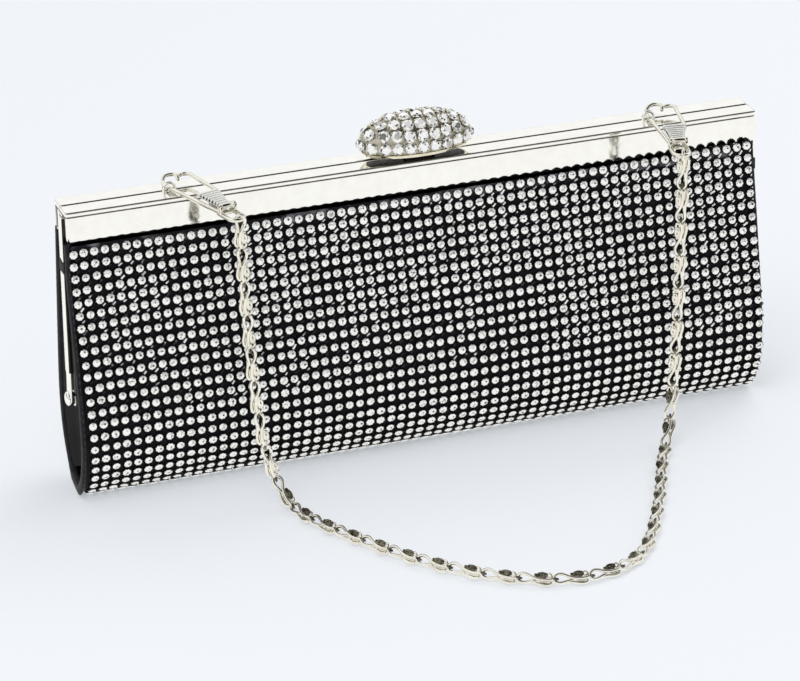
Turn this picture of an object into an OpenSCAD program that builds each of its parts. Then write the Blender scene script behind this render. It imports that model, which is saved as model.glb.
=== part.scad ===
// Evening bag: metal-framed clutch with a rhinestone cover, a pave push knob and a clip-on chain.
// Millimetres. X runs along the bag, -Y is the front, Z is up, and the bag stands on z = 0.

/* [Frame] */
// Length of the frame bars
frame_len = 240; // [200:1:280]
// Depth of one frame half, from the parting line to its face
frame_half_depth = 7; // [6.5:0.1:8]
// Height of the frame's top above the table
frame_top = 101; // [98:0.5:106]
// Height of the frame's face
face_h = 10; // [8:0.5:11]
// Thickness of the frame sheet
sheet = 0.8; // [0.6:0.05:0.9]
// Gap between the two halves at the parting line
parting_gap = 0.3; // [0.2:0.05:0.6]
// Height of the bead along the top of the face
bead_h = 1.6; // [1:0.1:2.4]
// How far the bead stands out of the face
bead_out = 0.5; // [0.3:0.1:0.8]

/* [Hinge] */
// Height of the hinge pins
hinge_z = 33; // [30:0.5:38]
// Width of a hinge arm
arm_w = 5.5; // [5:0.1:6]
// Width of the front arm's tongue at the pin
tongue_w = 4.4; // [4:0.1:4.8]
// Thickness of a hinge arm
arm_t = 1; // [0.8:0.05:1.2]
// Diameter of the hinge rivet
rivet_d = 2.2; // [1.8:0.1:2.4]
// Diameter of the rivet's domed head
rivet_head_d = 5; // [4.4:0.1:5.6]
// Height of the rivet's domed head
rivet_head_h = 1.2; // [0.8:0.1:1.6]

/* [Body] */
// How far the covered panels reach past each end of the frame
panel_over = 0.4; // [0:0.1:1]
// Width of the binding on each end of the panels
binding_w = 1.2; // [0.8:0.1:1.6]
// Depth of the body at its fullest
body_depth = 38.4; // [34:0.2:44]
// How far the panels stand out of the frame's faces
panel_step = 3.2; // [2.9:0.1:4]
// Height at which the body is fullest
bulge_z = 27; // [22:0.5:34]
// How much of the round bottom the standing flat takes off
flat_cut = 1.2; // [0.6:0.1:2]
// Thickness of the cover: fabric, mesh and stones
cover_t = 2.4; // [2:0.1:2.6]
// Distance from one row of stones to the next
row_pitch = 4.12; // [3.8:0.02:4.4]
// Depth of the grooves between the rows of stones
row_deep = 0.7; // [0.4:0.1:1]
// Width of the grooves between the rows of stones
row_gap = 1.4; // [0.8:0.1:1.6]
// Thickness of the stiffening boards
board_t = 1.2; // [0.8:0.1:1.4]
// Thickness of the lining
lining_t = 0.6; // [0.4:0.1:0.8]
// Thickness of the end gussets
gusset_t = 1; // [0.6:0.1:1.4]
// How far a gusset folds inwards
gusset_fold = 8; // [5:0.5:12]

/* [Knob] */
// Place of the knob along the frame
knob_x = 1.5; // [-5:0.5:5]
// Length of the knob's shell
knob_len = 38; // [34:0.5:44]
// Radius of the knob's shell
knob_r = 8.6; // [8:0.1:9]
// Gap under the knob
knob_gap = 1.8; // [1.7:0.1:2.4]
// Thickness of the knob's base plate
knob_plate = 1; // [0.8:0.1:1.4]
// Wall of the knob's shell
knob_wall = 1.4; // [1:0.1:1.8]
// Diameter of a knob stone
stone_d = 3.8; // [3.2:0.1:4]
// Height of a knob stone
stone_h = 1.4; // [1:0.1:1.8]

/* [Clasp] */
// Diameter of the clasp's pin
pin_d = 1.6; // [1.4:0.1:1.8]
// Width of the clasp's lever
lever_w = 10; // [8:0.5:12]
// Thickness of the lever's stem
stem_t = 1.6; // [1.4:0.1:1.8]
// How far the catch reaches down behind the lever's nose
catch_hold = 0.4; // [0.3:0.05:0.5]

/* [Strap] */
// Place of the strap's staples, left and right of the middle
staple_x = 83.5; // [75:0.5:95]
// Diameter of the clips' wire
clip_wire = 1.6; // [1.4:0.1:1.8]
// Length of a clip's rod
clip_rod = 30; // [28:0.5:32]
// Diameter of the chain's wire
link_wire = 1; // [0.9:0.05:1.1]
// Outer width of a chain link
link_w = 4.6; // [4.4:0.1:5]
// Number of chain links, an odd number
link_count = 37; // [35:2:39]

/* [Hidden] */
$fn = 48;

// Clearances, and how far a cut runs past what it cuts
run_gap = 0.05;
soft_gap = 0.2;
side_gap = 0.15;
past = 1;

// Colours
metal = "gainsboro";
cloth = [0.06, 0.06, 0.07];
crystal = "aliceblue";

// Frame
half_len = frame_len / 2;
face_bottom = frame_top - face_h;
top_under = frame_top - sheet;
inner_face = frame_half_depth - sheet;

// Body
body_len = frame_len + 2 * panel_over;
mouth_depth = 2 * (frame_half_depth + panel_step);

// Outline of the body: an oval bottom and a flank that straightens towards the frame
oval = 2.15;
arc_steps = 12;
flank_steps = 10;
last = arc_steps + flank_steps;
base_last = arc_steps + 2;
flank_round = 8.5;
flank_run = face_bottom - bulge_z;
flank_fall = (body_depth - mouth_depth) / 2 / (norm([flank_run, flank_round]) - flank_round);
flat_angle = acos(pow(bulge_z / (bulge_z + flat_cut), oval / 2));

function oval_point(a) =
    [body_depth / 2 * pow(sin(a), 2 / oval), bulge_z - (bulge_z + flat_cut) * pow(cos(a), 2 / oval)];
function flank_point(z) =
    [body_depth / 2 - flank_fall * (norm([z - bulge_z, flank_round]) - flank_round), z];
function outline(k) =
    k < 0 ? [0, 0] :
    k < arc_steps ? oval_point(flat_angle + (90 - flat_angle) * k / arc_steps) :
    flank_point(bulge_z + flank_run * (k - arc_steps) / flank_steps);
function along(k) = let (d = outline(min(k + 1, last)) - outline(k - 1)) d / norm(d);
function inset(k, depth) = outline(k) + depth * [-along(k)[1], along(k)[0]];

// Distances along a line of points, and the point at a distance along it
function run_to(line, i) = i == 0 ? 0 : run_to(line, i - 1) + norm(line[i] - line[i - 1]);
function runs_of(line) = [for (i = [0:len(line) - 1]) run_to(line, i)];
function spot(line, runs, s, i = 1) =
    i == len(line) - 1 || s <= runs[i] ?
        line[i - 1] + (line[i] - line[i - 1]) * (s - runs[i - 1]) / (runs[i] - runs[i - 1]) :
        spot(line, runs, s, i + 1);

// Grooves between the rows of stones, down one side of the body to the standing flat
row_first = 2.1;
side_line = [for (k = [-1:last]) outline(k)];
side_runs = runs_of(side_line);
module row_grooves() {
    for (s = [side_runs[last + 1] - row_first - row_pitch / 2:-row_pitch:side_runs[1] + row_pitch / 2]) {
        d = spot(side_line, side_runs, s + row_gap / 2) - spot(side_line, side_runs, s - row_gap / 2);
        translate(spot(side_line, side_runs, s)) rotate(atan2(d[1], d[0]))
            square([row_gap, 2 * row_deep], center = true);
    }
}

// Depths of the layers, counted from the outside
board_at = cover_t + soft_gap;
lining_at = board_at + board_t + soft_gap;
inside_at = lining_at + lining_t + soft_gap;

// Cross-section of one layer on one side, between two steps of the outline
module layer(from_k, to_k, outer, inner) {
    polygon(concat([for (k = [from_k:to_k]) inset(k, outer)],
                   [for (k = [to_k:-1:from_k]) inset(k, inner)]));
}

// Cross-section of one layer round the bottom, up to the same step on both sides
module wrap(to_k, outer, inner) {
    polygon(concat([for (k = [to_k:-1:0]) [-inset(k, outer)[0], inset(k, outer)[1]]],
                   [for (k = [0:to_k]) inset(k, outer)],
                   [for (k = [to_k:-1:0]) inset(k, inner)],
                   [for (k = [0:to_k]) [-inset(k, inner)[0], inset(k, inner)[1]]]));
}

// All that lies inside a depth, up to the same step on both sides
module wrap_area(to_k, depth) {
    polygon(concat([for (k = [to_k:-1:0]) [-inset(k, depth)[0], inset(k, depth)[1]]],
                   [for (k = [0:to_k]) inset(k, depth)]));
}

// Extrudes a cross-section of Y and Z along X, about the middle
module along_x(len) {
    translate([-len / 2, 0, 0])
        rotate([90, 0, 90])
            linear_extrude(len)
                children();
}

module front_side() {
    mirror([0, 1, 0]) children();
}

module both_ends() {
    children();
    mirror([1, 0, 0]) children();
}

// Box given by its low and high corners
module block(low, high) {
    translate(low) cube(high - low);
}

// One frame half, drawn on the back side: top, face with a bead, and two end walls
module frame_half() {
    along_x(frame_len) polygon([
        [parting_gap / 2, top_under], [inner_face, top_under], [inner_face, face_bottom],
        [frame_half_depth, face_bottom], [frame_half_depth, frame_top - bead_h],
        [frame_half_depth + bead_out, frame_top - bead_h], [frame_half_depth + bead_out, frame_top],
        [parting_gap / 2, frame_top]]);
    both_ends()
        block([half_len - sheet, parting_gap / 2, face_bottom], [half_len, inner_face, top_under]);
}

// Clasp: the lever turns on a pin inside the front half and its nose hooks behind the catch
hub_wall = 0.9;
hub_gap = 0.2;
hub_r = pin_d / 2 + hub_wall;
pin_drop = 2.8;
pin_y = hub_r + hub_gap - inner_face;
pin_z = top_under - pin_drop;
ear_t = 1;
ear_x = lever_w / 2 + side_gap;
stem_gap = 0.4;
slot_w = lever_w + 4 * stem_gap;
catch_gap = 0.4;
catch_t = 0.6;
catch_y = parting_gap / 2 + catch_gap;
nose_t = 1;
nose_y = catch_y + catch_t + catch_gap;
nose_half = lever_w / 2 - 1;
nose_drop = 1.2;
nose_top = top_under - nose_drop;
leaf_t = 0.3;
leaf_half = 2;
spring_reach = 4;
knob_bottom = frame_top + knob_gap;
knob_sit = 3.8;
knob_z = knob_bottom + knob_sit;

module front_frame() {
    color(metal) difference() {
        front_side() frame_half();
        // Slot for the lever's stem, open at the parting line
        block([knob_x - slot_w / 2, pin_y - stem_t / 2 - stem_gap, top_under - past],
              [knob_x + slot_w / 2, past, frame_top + past]);
    }
}

module back_frame() {
    color(metal) frame_half();
}

// Hinge arms, drawn at the right end: the front arm lies outside, the back arm inside
arm_drop = 2.5;
arm_top_z = frame_top - arm_drop;
arm_lean = min(frame_half_depth / 2, inner_face - arm_w / 2);
tongue_len = 9;
tongue_top = hinge_z + tongue_len;
front_arm_x = half_len;
back_arm_x = half_len - sheet - arm_t;
rivet_r = rivet_d / 2;

// Arm from the pin up to the frame, in Y and Z
module arm_shape(side, width, low_z) {
    lean = side * arm_lean;
    low_y = lean * (low_z - hinge_z) / (arm_top_z - hinge_z);
    polygon([[low_y - width / 2, low_z], [low_y + width / 2, low_z],
             [lean + width / 2, arm_top_z], [lean - width / 2, arm_top_z]]);
}

module arm_plate(x) {
    translate([x, 0, 0]) rotate([90, 0, 90]) linear_extrude(arm_t) children();
}

module front_arm() {
    color(metal) arm_plate(front_arm_x) difference() {
        union() {
            arm_shape(-1, arm_w, tongue_top);
            arm_shape(-1, tongue_w, hinge_z);
            translate([0, hinge_z]) circle(d = tongue_w);
        }
        translate([0, hinge_z]) circle(rivet_r + run_gap);
    }
}

module back_arm() {
    color(metal) arm_plate(back_arm_x) difference() {
        union() {
            arm_shape(1, arm_w, hinge_z);
            translate([0, hinge_z]) circle(d = arm_w);
        }
        translate([0, hinge_z]) circle(rivet_r + run_gap);
    }
}

module front_arm_right() { front_arm(); }
module front_arm_left() { mirror([1, 0, 0]) front_arm(); }
module back_arm_right() { back_arm(); }
module back_arm_left() { mirror([1, 0, 0]) back_arm(); }

// Rivet along X through both arms, with a domed head outside and a flat one inside
inner_head_h = 0.6;
inner_head_in = 0.5;
module hinge_rivets() {
    grip = front_arm_x + arm_t - back_arm_x + 2 * run_gap;
    head_r = rivet_head_d / 2;
    inner_r = head_r - inner_head_in;
    dome_steps = 8;
    profile = concat(
        [[0, -inner_head_h], [inner_r, -inner_head_h], [inner_r, 0], [rivet_r, 0], [rivet_r, grip]],
        [for (i = [0:dome_steps]) let (a = 90 * i / dome_steps)
            [head_r * cos(a), grip + rivet_head_h * sin(a)]]);
    color(metal) both_ends() translate([back_arm_x - run_gap, 0, hinge_z]) rotate([0, 90, 0])
        rotate_extrude() polygon(profile);
}

module hinge_washers() {
    color(metal) both_ends() translate([half_len - sheet + run_gap, 0, hinge_z]) rotate([0, 90, 0])
        difference() {
            cylinder(d = tongue_w, h = sheet - 2 * run_gap);
            translate([0, 0, -past]) cylinder(r = rivet_r + run_gap, h = sheet + 2 * past);
        }
}

// Black loops that hold the outer arms to the gussets
loop_z = 81;
loop_h = 4;
loop_t = 0.5;
loop_slack = 0.5;
module arm_loops() {
    mid_y = -arm_lean * (loop_z - hinge_z) / (arm_top_z - hinge_z);
    half_w = arm_w / 2 + loop_slack;
    low = front_arm_x - soft_gap;
    high = front_arm_x + arm_t + soft_gap;
    color(cloth) both_ends() difference() {
        block([low - loop_t, mid_y - half_w - loop_t, loop_z - loop_h / 2],
              [high + loop_t, mid_y + half_w + loop_t, loop_z + loop_h / 2]);
        block([low, mid_y - half_w, loop_z - loop_h], [high, mid_y + half_w, loop_z + loop_h]);
    }
}

// Two ears under the front half's top carry the clasp's pin
module clasp_bracket() {
    ear_front = pin_y - hub_r;
    ear_back = pin_y + hub_r;
    color(metal) difference() {
        for (side = [-1, 1])
            translate([knob_x + side * (ear_x + ear_t / 2), 0, 0])
                block([-ear_t / 2, ear_front, pin_z - hub_r], [ear_t / 2, ear_back, top_under]);
        translate([knob_x - ear_x - 2 * ear_t, pin_y, pin_z]) rotate([0, 90, 0])
            cylinder(d = pin_d + 2 * run_gap, h = 2 * ear_x + 4 * ear_t);
    }
}

module clasp_pin() {
    color(metal) translate([knob_x - ear_x - ear_t, pin_y, pin_z]) rotate([0, 90, 0])
        cylinder(d = pin_d, h = 2 * (ear_x + ear_t));
}

// Lever: a hub on the pin, a stem up to the knob and an arm back to the nose
module clasp_lever() {
    half_w = lever_w / 2;
    arm_low = pin_z - nose_t / 2;
    color(metal) translate([knob_x, 0, 0]) difference() {
        union() {
            translate([-half_w, pin_y, pin_z]) rotate([0, 90, 0]) cylinder(r = hub_r, h = lever_w);
            block([-half_w, pin_y - stem_t / 2, pin_z], [half_w, pin_y + stem_t / 2, knob_bottom]);
            block([-nose_half, pin_y, arm_low], [nose_half, nose_y + nose_t, arm_low + nose_t]);
            block([-nose_half, nose_y, arm_low], [nose_half, nose_y + nose_t, nose_top]);
        }
        translate([-half_w - past, pin_y, pin_z]) rotate([0, 90, 0])
            cylinder(d = pin_d + 2 * run_gap, h = lever_w + 2 * past);
    }
}

// Leaf spring on the bracket side of the lever, pressing its arm up
module clasp_spring() {
    spring_low = pin_z - hub_r - 2 * leaf_t;
    tip = pin_y + spring_reach;
    color(metal) translate([knob_x, 0, 0]) {
        block([-leaf_half, -inner_face, spring_low], [leaf_half, tip, spring_low + leaf_t]);
        block([-leaf_half, tip - leaf_t, spring_low], [leaf_half, tip, pin_z - nose_t / 2 - run_gap]);
    }
}

// Spring-steel catch under the back half's top, with its lip turned down in front of the nose
module catch_spring() {
    lip_back = catch_y + catch_t;
    color(metal) translate([knob_x, 0, 0]) {
        block([-nose_half, catch_y, top_under - leaf_t], [nose_half, inner_face - catch_gap, top_under]);
        block([-nose_half, catch_y, nose_top - catch_hold], [nose_half, lip_back, top_under]);
    }
}

// Knob: an oval turned about X and cut off flat below
knob_blunt = 2;
function knob_radius(x, r, half) = r * pow(1 - pow(min(abs(x) / half, 1), knob_blunt), 1 / knob_blunt);

module knob_solid(r, half) {
    steps = 28;
    translate([knob_x, 0, knob_z]) rotate([0, 90, 0]) rotate_extrude()
        polygon(concat([[0, half]], [for (i = [1:steps - 1]) let (x = half * cos(180 * i / steps))
                                         [knob_radius(x, r, half), x]], [[0, -half]]));
}

module knob_slab(low, high) {
    block([knob_x - knob_len, -2 * knob_r, low], [knob_x + knob_len, 2 * knob_r, high]);
}

module knob_base() {
    rim = 0.5;
    color(metal) intersection() {
        knob_solid(knob_r + rim, knob_len / 2 + rim);
        knob_slab(knob_bottom, knob_bottom + knob_plate);
    }
}

module knob_shell() {
    color(metal) intersection() {
        difference() {
            knob_solid(knob_r, knob_len / 2);
            knob_solid(knob_r - knob_wall, knob_len / 2 - knob_wall);
        }
        knob_slab(knob_bottom + knob_plate, knob_z + 2 * knob_r);
    }
}

// One flat-backed stone, standing on z = 0
module stone() {
    girdle = 0.45 * stone_h;
    rotate_extrude() polygon([[0, 0], [stone_d / 2, 0], [stone_d / 2, girdle],
                              [0.6 * stone_d / 2, stone_h], [0, stone_h]]);
}

// Stones in rings round the knob, as many as each ring holds
stone_gap = 0.5;
stone_pitch = stone_d + stone_gap;
ring_gap = 0.05;
rim_gap = 0.45;
stone_reach = 90 + asin((knob_sit - knob_plate - stone_d / 2 - rim_gap) / (knob_r + stone_h));
ring_draw = 0.012;
function knob_slope(x) = (knob_radius(x + 0.01, knob_r, knob_len / 2)
                          - knob_radius(x - 0.01, knob_r, knob_len / 2)) / 0.02;
module knob_stones() {
    rings = floor((knob_len - 2) / stone_pitch / 2);
    color(crystal) for (ring = [-rings:rings]) {
        x = ring * stone_pitch * (1 - ring_draw * abs(ring));
        r = knob_radius(x, knob_r, knob_len / 2);
        tilt = atan(-knob_slope(x));
        gaps = floor(2 * stone_reach * PI / 180 * r / (stone_d + ring_gap));
        for (i = [0:gaps])
            translate([knob_x + x, 0, knob_z])
                rotate([stone_reach * (2 * i / gaps - 1), 0, 0])
                    translate([0, 0, r]) rotate([0, tilt, 0]) translate([0, 0, run_gap]) stone();
    }
}

// Covered panels and base
module side_cover() {
    along_x(body_len) difference() {
        layer(base_last, last, 0, cover_t);
        row_grooves();
    }
}
module front_cover() {
    color(cloth) front_side() side_cover();
}
module back_cover() {
    color(cloth) side_cover();
}
module base_cover() {
    color(cloth) along_x(body_len) difference() {
        wrap(base_last, 0, cover_t);
        row_grooves();
        mirror([1, 0]) row_grooves();
    }
}

// Bindings round the panels' ends
module binding_ends() {
    both_ends() translate([(body_len + binding_w) / 2, 0, 0]) along_x(binding_w) children();
}
module front_binding() {
    color(cloth) front_side() binding_ends() layer(base_last, last, 0, cover_t);
}
module back_binding() {
    color(cloth) binding_ends() layer(base_last, last, 0, cover_t);
}
module base_binding() {
    color(cloth) binding_ends() wrap(base_last, 0, cover_t);
}

// Boards behind the covers
board_len = body_len - 2;
module front_board() {
    color("saddlebrown") front_side() along_x(board_len)
        layer(base_last, last, board_at, board_at + board_t);
}
module back_board() {
    color("saddlebrown") along_x(board_len) layer(base_last, last, board_at, board_at + board_t);
}

// Lining, glued to the boards and the base
lining_in = 2;
lining_len = frame_len - 2 * (sheet + arm_t + lining_in);
module lining() {
    color(cloth) along_x(lining_len) wrap(last, lining_at, lining_at + lining_t);
}

// Gussets: folded inwards between the panels, inside the lining
gusset_in = 0.5;
gusset_last = last - 2;
module gusset() {
    fold_x = lining_len / 2 - gusset_in - gusset_fold;
    // Drawn twice as deep as the body, so that the lining trims both edges
    reach = body_depth;
    edge_x = fold_x + 2 * gusset_fold;
    top = inset(gusset_last, inside_at)[1];
    color(cloth) intersection() {
        along_x(frame_len) wrap_area(gusset_last, inside_at);
        linear_extrude(top) polygon([
            [fold_x, 0], [edge_x, reach], [edge_x - gusset_t, reach],
            [fold_x - gusset_t, 0], [edge_x - gusset_t, -reach], [edge_x, -reach]]);
    }
}
module gusset_right() { gusset(); }
module gusset_left() { mirror([1, 0, 0]) gusset(); }

// Strap clips. Drawn flat: X across, Y from the eye up to the bow, Z out of the clip.
// The origin is on the rod, where it passes under its staple.
clip_r = clip_wire / 2;
staple_y = -1.4;
staple_wire = 1;
clip_gap = 0.3;
clip_z = frame_top + clip_r + clip_gap;
clip_lift = 1;
left_turn = 15;
right_turn = -10.5;
rod_lean = 5.5;
rod_above = 2;
rod_sunk = 2;
lobe_r = 3;
lobe_sweep = 125;
bow_w = 9.6;
base_h = 4;
base_w = 6.2;
base_skin = 0.2;
base_t = clip_r + base_skin;
rod_in = 1.3;
eye_r = 2.4;
lug_t = 1;
lug_back = 0.3;
gate_pin_d = 1.2;
gate_pin_in = 1;
knuckle_wall = 0.6;
knuckle_r = gate_pin_d / 2 + knuckle_wall;
pad_t = 1.25;
pad_len = 14.5;
pad_low = base_t + side_gap;
gate_pin_z = pad_low + knuckle_r;
base_top = -(clip_rod - rod_above) * cos(rod_lean);
base_left = (clip_rod - rod_above) * sin(rod_lean) - rod_in;
gate_pin_y = base_top - gate_pin_in;
eye_x = base_left + base_w / 2;
eye_y = base_top - base_h - eye_r;

module wire_line(len) {
    rotate([-90, 0, 0]) cylinder(r = clip_r, h = len);
}

// Part of a ring of wire about Z, from the X axis round
module wire_arc(r, sweep, wire_r) {
    rotate_extrude(angle = sweep) translate([r, 0]) circle(wire_r);
}

module clip_hook() {
    color(metal) {
        // Rod and the hook's own lobe of the bow
        rotate([0, 0, rod_lean]) {
            translate([0, rod_above - clip_rod - rod_sunk, 0]) wire_line(clip_rod + rod_sunk);
            translate([lobe_r, rod_above, 0]) mirror([1, 0, 0]) wire_arc(lobe_r, lobe_sweep, clip_r);
        }
        // Base with the gate's lugs
        difference() {
            union() {
                block([base_left, base_top - base_h, -base_t], [base_left + base_w, base_top, base_t]);
                for (x = [base_left, base_left + base_w - lug_t])
                    block([x, gate_pin_y - knuckle_r, 0],
                          [x + lug_t, gate_pin_y + knuckle_r - lug_back, gate_pin_z + knuckle_r]);
            }
            translate([base_left - past, gate_pin_y, gate_pin_z]) rotate([0, 90, 0])
                cylinder(d = gate_pin_d + 2 * run_gap, h = base_w + 2 * past);
        }
        // Eye for the chain
        translate([eye_x, eye_y, 0]) rotate_extrude() translate([eye_r, 0]) circle(clip_r);
    }
}

// Gate: a ridged thumb pad on the pin, with the other lobe of the bow
gate_low = base_left + lug_t + side_gap;
gate_high = base_left + base_w - lug_t - side_gap;
pad_flare = 0.6;
pad_edge = 0.4;
gate_lobe = 2;
gate_sweep = 115;
ridge_count = 7;
ridge_from = 1.5;
ridge_h = 0.5;
ridge_in = 0.1;
module clip_gate() {
    pad_neck = gate_pin_y + knuckle_r;
    pad_top = gate_pin_y + pad_len;
    pad_left = gate_low - pad_flare;
    pad_right = bow_w + pad_edge;
    gate_z = pad_low + pad_t - clip_r;
    ridge_pitch = (pad_len - 2 * ridge_from) / ridge_count;
    color(metal) difference() {
        union() {
            translate([0, 0, pad_low]) linear_extrude(pad_t)
                polygon([[gate_low, gate_pin_y], [gate_high, gate_pin_y], [gate_high, pad_neck],
                         [pad_right, pad_top], [pad_left, pad_top], [gate_low, pad_neck]]);
            for (i = [1:ridge_count]) {
                y = gate_pin_y + ridge_from + i * ridge_pitch;
                share = max(0, y - pad_neck) / (pad_top - pad_neck);
                left = gate_low + (pad_left - gate_low) * share + ridge_in;
                right = gate_high + (pad_right - gate_high) * share - ridge_in;
                block([left, y - ridge_pitch / 4, pad_low + pad_t / 2],
                      [right, y + ridge_pitch / 4, pad_low + pad_t + ridge_h]);
            }
            translate([gate_low, gate_pin_y, gate_pin_z]) rotate([0, 90, 0])
                cylinder(r = knuckle_r, h = gate_high - gate_low);
            translate([bow_w, pad_top - past, gate_z]) wire_line(rod_above - pad_top + past);
            translate([bow_w - gate_lobe, rod_above, gate_z]) wire_arc(gate_lobe, gate_sweep, clip_r);
        }
        translate([gate_low - past, gate_pin_y, gate_pin_z]) rotate([0, 90, 0])
            cylinder(d = gate_pin_d + 2 * run_gap, h = gate_high - gate_low + 2 * past);
    }
}

module clip_pin() {
    color(metal) translate([base_left, gate_pin_y, gate_pin_z]) rotate([0, 90, 0])
        cylinder(d = gate_pin_d, h = base_w);
}

// Leaf on the clip's base, bent up against the pad
clip_leaf_len = 9;
clip_leaf_half = 1;
module clip_spring() {
    tip = base_top + clip_leaf_len;
    low_x = eye_x - clip_leaf_half;
    high_x = eye_x + clip_leaf_half;
    color(metal) {
        block([low_x, base_top, -leaf_t / 2], [high_x, tip, leaf_t / 2]);
        block([low_x, tip - leaf_t, -leaf_t / 2], [high_x, tip, pad_low - run_gap]);
    }
}

module at_clip(x, turn) {
    translate([x, staple_y, clip_z]) rotate([0, 0, turn]) rotate([clip_lift, 0, 0]) children();
}
module at_left_clip() { at_clip(-staple_x, left_turn) children(); }
module at_right_clip() { at_clip(staple_x, right_turn) children(); }

module clip_hook_left() { at_left_clip() clip_hook(); }
module clip_hook_right() { at_right_clip() clip_hook(); }
module clip_gate_left() { at_left_clip() clip_gate(); }
module clip_gate_right() { at_right_clip() clip_gate(); }
module clip_spring_left() { at_left_clip() clip_spring(); }
module clip_spring_right() { at_right_clip() clip_spring(); }
module clip_pins() {
    at_left_clip() clip_pin();
    at_right_clip() clip_pin();
}

// Staples on the front half's top that the clips hook under
staple_slack = 0.6;
staple_r = clip_r + staple_wire / 2 + staple_slack;
module strap_staples() {
    leg = clip_z - frame_top;
    color(metal) for (x = [-staple_x, staple_x]) translate([x, staple_y, frame_top]) {
        for (side = [-1, 1]) translate([side * staple_r, 0, 0]) cylinder(d = staple_wire, h = leg);
        translate([0, 0, leg]) rotate([90, 0, 0]) wire_arc(staple_r, 180, staple_wire / 2);
    }
}

// Chain: the line that the links follow, from the left clip's eye down, along the table and up again
function turned(p, a) = [p[0] * cos(a) - p[1] * sin(a), p[0] * sin(a) + p[1] * cos(a)];
eye_front = [eye_x, eye_y - eye_r];
hang_gap = 0.1;
eye_hang = clip_z + eye_front[1] * sin(clip_lift) + clip_r + hang_gap;
left_eye = turned(eye_front, left_turn) + [-staple_x, staple_y];
right_eye = turned(eye_front, right_turn) + [staple_x, staple_y];
lie_gap = 0.1;
lie_z = link_w / 2 + lie_gap;
route = concat(
    [[left_eye[0], left_eye[1], eye_hang]],
    [[-69.5, -35, 88], [-69, -35, 76], [-68.5, -35, 64], [-68, -35, 52], [-67, -35, 40], [-66, -35, 28],
     [-64, -35.5, 16], [-61.5, -37.5, 7.5]],
    [for (p = [[-59, -45], [-56.5, -55], [-51.5, -66], [-45, -78], [-38.5, -89.5], [-31.5, -100], [-23, -110],
               [-13, -118.5], [-2.5, -125.5], [9, -129], [20.5, -128.5], [32, -122.5], [40.5, -110.5],
               [48.5, -95.5], [55, -82], [61, -68], [67, -54], [71.5, -46]]) [p[0], p[1], lie_z]],
    [[75, -40, 6.5], [77, -38, 16], [78, -37.5, 28], [79, -37.5, 40], [79.5, -37.5, 52], [80, -37.5, 64],
     [80.5, -37.5, 76], [81, -37.5, 88]],
    [[right_eye[0], right_eye[1], eye_hang]]);
route_runs = runs_of(route);
link_pitch = route_runs[len(route) - 1] / link_count;
link_slack = 0.4;
link_len = link_pitch + 2 * link_wire + link_slack;
link_ends = [for (i = [0:link_count]) spot(route, route_runs, i * link_pitch)];
function heading(i) = let (d = link_ends[i + 1] - link_ends[i]) d / norm(d);
// Direction across each link, carried on from link to link without a twist
function across(i) =
    i < 0 ? [1, 0, 0] :
    let (n = across(i - 1), t = heading(i), m = n - (n * t) * t) m / norm(m);

module link() {
    bend_r = (link_w - link_wire) / 2;
    straight = link_len - link_w;
    for (side = [-1, 1]) {
        translate([-straight / 2, side * bend_r, 0]) rotate([0, 90, 0])
            cylinder(d = link_wire, h = straight);
        translate([side * straight / 2, 0, 0]) rotate([0, 0, -90 * side])
            wire_arc(bend_r, 180, link_wire / 2);
    }
}

module chain_links() {
    color(metal) for (i = [0:link_count - 1]) {
        t = heading(i);
        n = across(i);
        b = cross(t, n);
        middle = (link_ends[i] + link_ends[i + 1]) / 2;
        multmatrix([for (k = [0:2]) [t[k], n[k], b[k], middle[k]]])
            rotate([i % 2 == 0 ? 90 : 0, 0, 0]) link();
    }
}

front_frame();
back_frame();
front_arm_left();
front_arm_right();
back_arm_left();
back_arm_right();
hinge_rivets();
hinge_washers();
clasp_bracket();
clasp_pin();
clasp_lever();
clasp_spring();
catch_spring();
knob_base();
knob_shell();
knob_stones();
front_board();
back_board();
front_cover();
base_cover();
back_cover();
front_binding();
base_binding();
back_binding();
gusset_left();
gusset_right();
lining();
arm_loops();
strap_staples();
clip_hook_left();
clip_hook_right();
clip_gate_left();
clip_gate_right();
clip_pins();
clip_spring_left();
clip_spring_right();
chain_links();
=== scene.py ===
# Evening bag, dressed. Shapes are drawn in millimetres in the part's frame and made in metres.
import math

import bpy
import numpy as np
from mathutils import Matrix


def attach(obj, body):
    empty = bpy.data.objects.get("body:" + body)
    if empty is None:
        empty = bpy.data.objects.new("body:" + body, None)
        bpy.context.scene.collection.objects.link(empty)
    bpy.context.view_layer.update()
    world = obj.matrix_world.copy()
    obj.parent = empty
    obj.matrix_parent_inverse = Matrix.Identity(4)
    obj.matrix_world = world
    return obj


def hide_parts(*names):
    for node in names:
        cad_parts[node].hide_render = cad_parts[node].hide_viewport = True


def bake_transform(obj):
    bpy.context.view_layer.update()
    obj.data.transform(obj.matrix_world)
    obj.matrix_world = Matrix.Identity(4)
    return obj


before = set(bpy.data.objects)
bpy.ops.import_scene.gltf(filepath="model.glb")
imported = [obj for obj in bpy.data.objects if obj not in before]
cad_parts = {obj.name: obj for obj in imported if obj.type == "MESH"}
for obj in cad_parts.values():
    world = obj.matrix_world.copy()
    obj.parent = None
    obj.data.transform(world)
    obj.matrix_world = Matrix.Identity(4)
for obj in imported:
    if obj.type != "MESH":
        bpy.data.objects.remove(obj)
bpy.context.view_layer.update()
chance = np.random.default_rng(11)
MM = 0.001
# Rounded ends of wires, as shares of the wire's radius
TIP_LONG = 0.55
TIP_WIDE = 0.6


# Object and mesh helpers
def new_object(name, data):
    obj = bpy.data.objects.new(name, data)
    bpy.context.scene.collection.objects.link(obj)
    return obj


def spin(degrees, axis):
    return Matrix.Rotation(math.radians(degrees), 4, axis)


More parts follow.
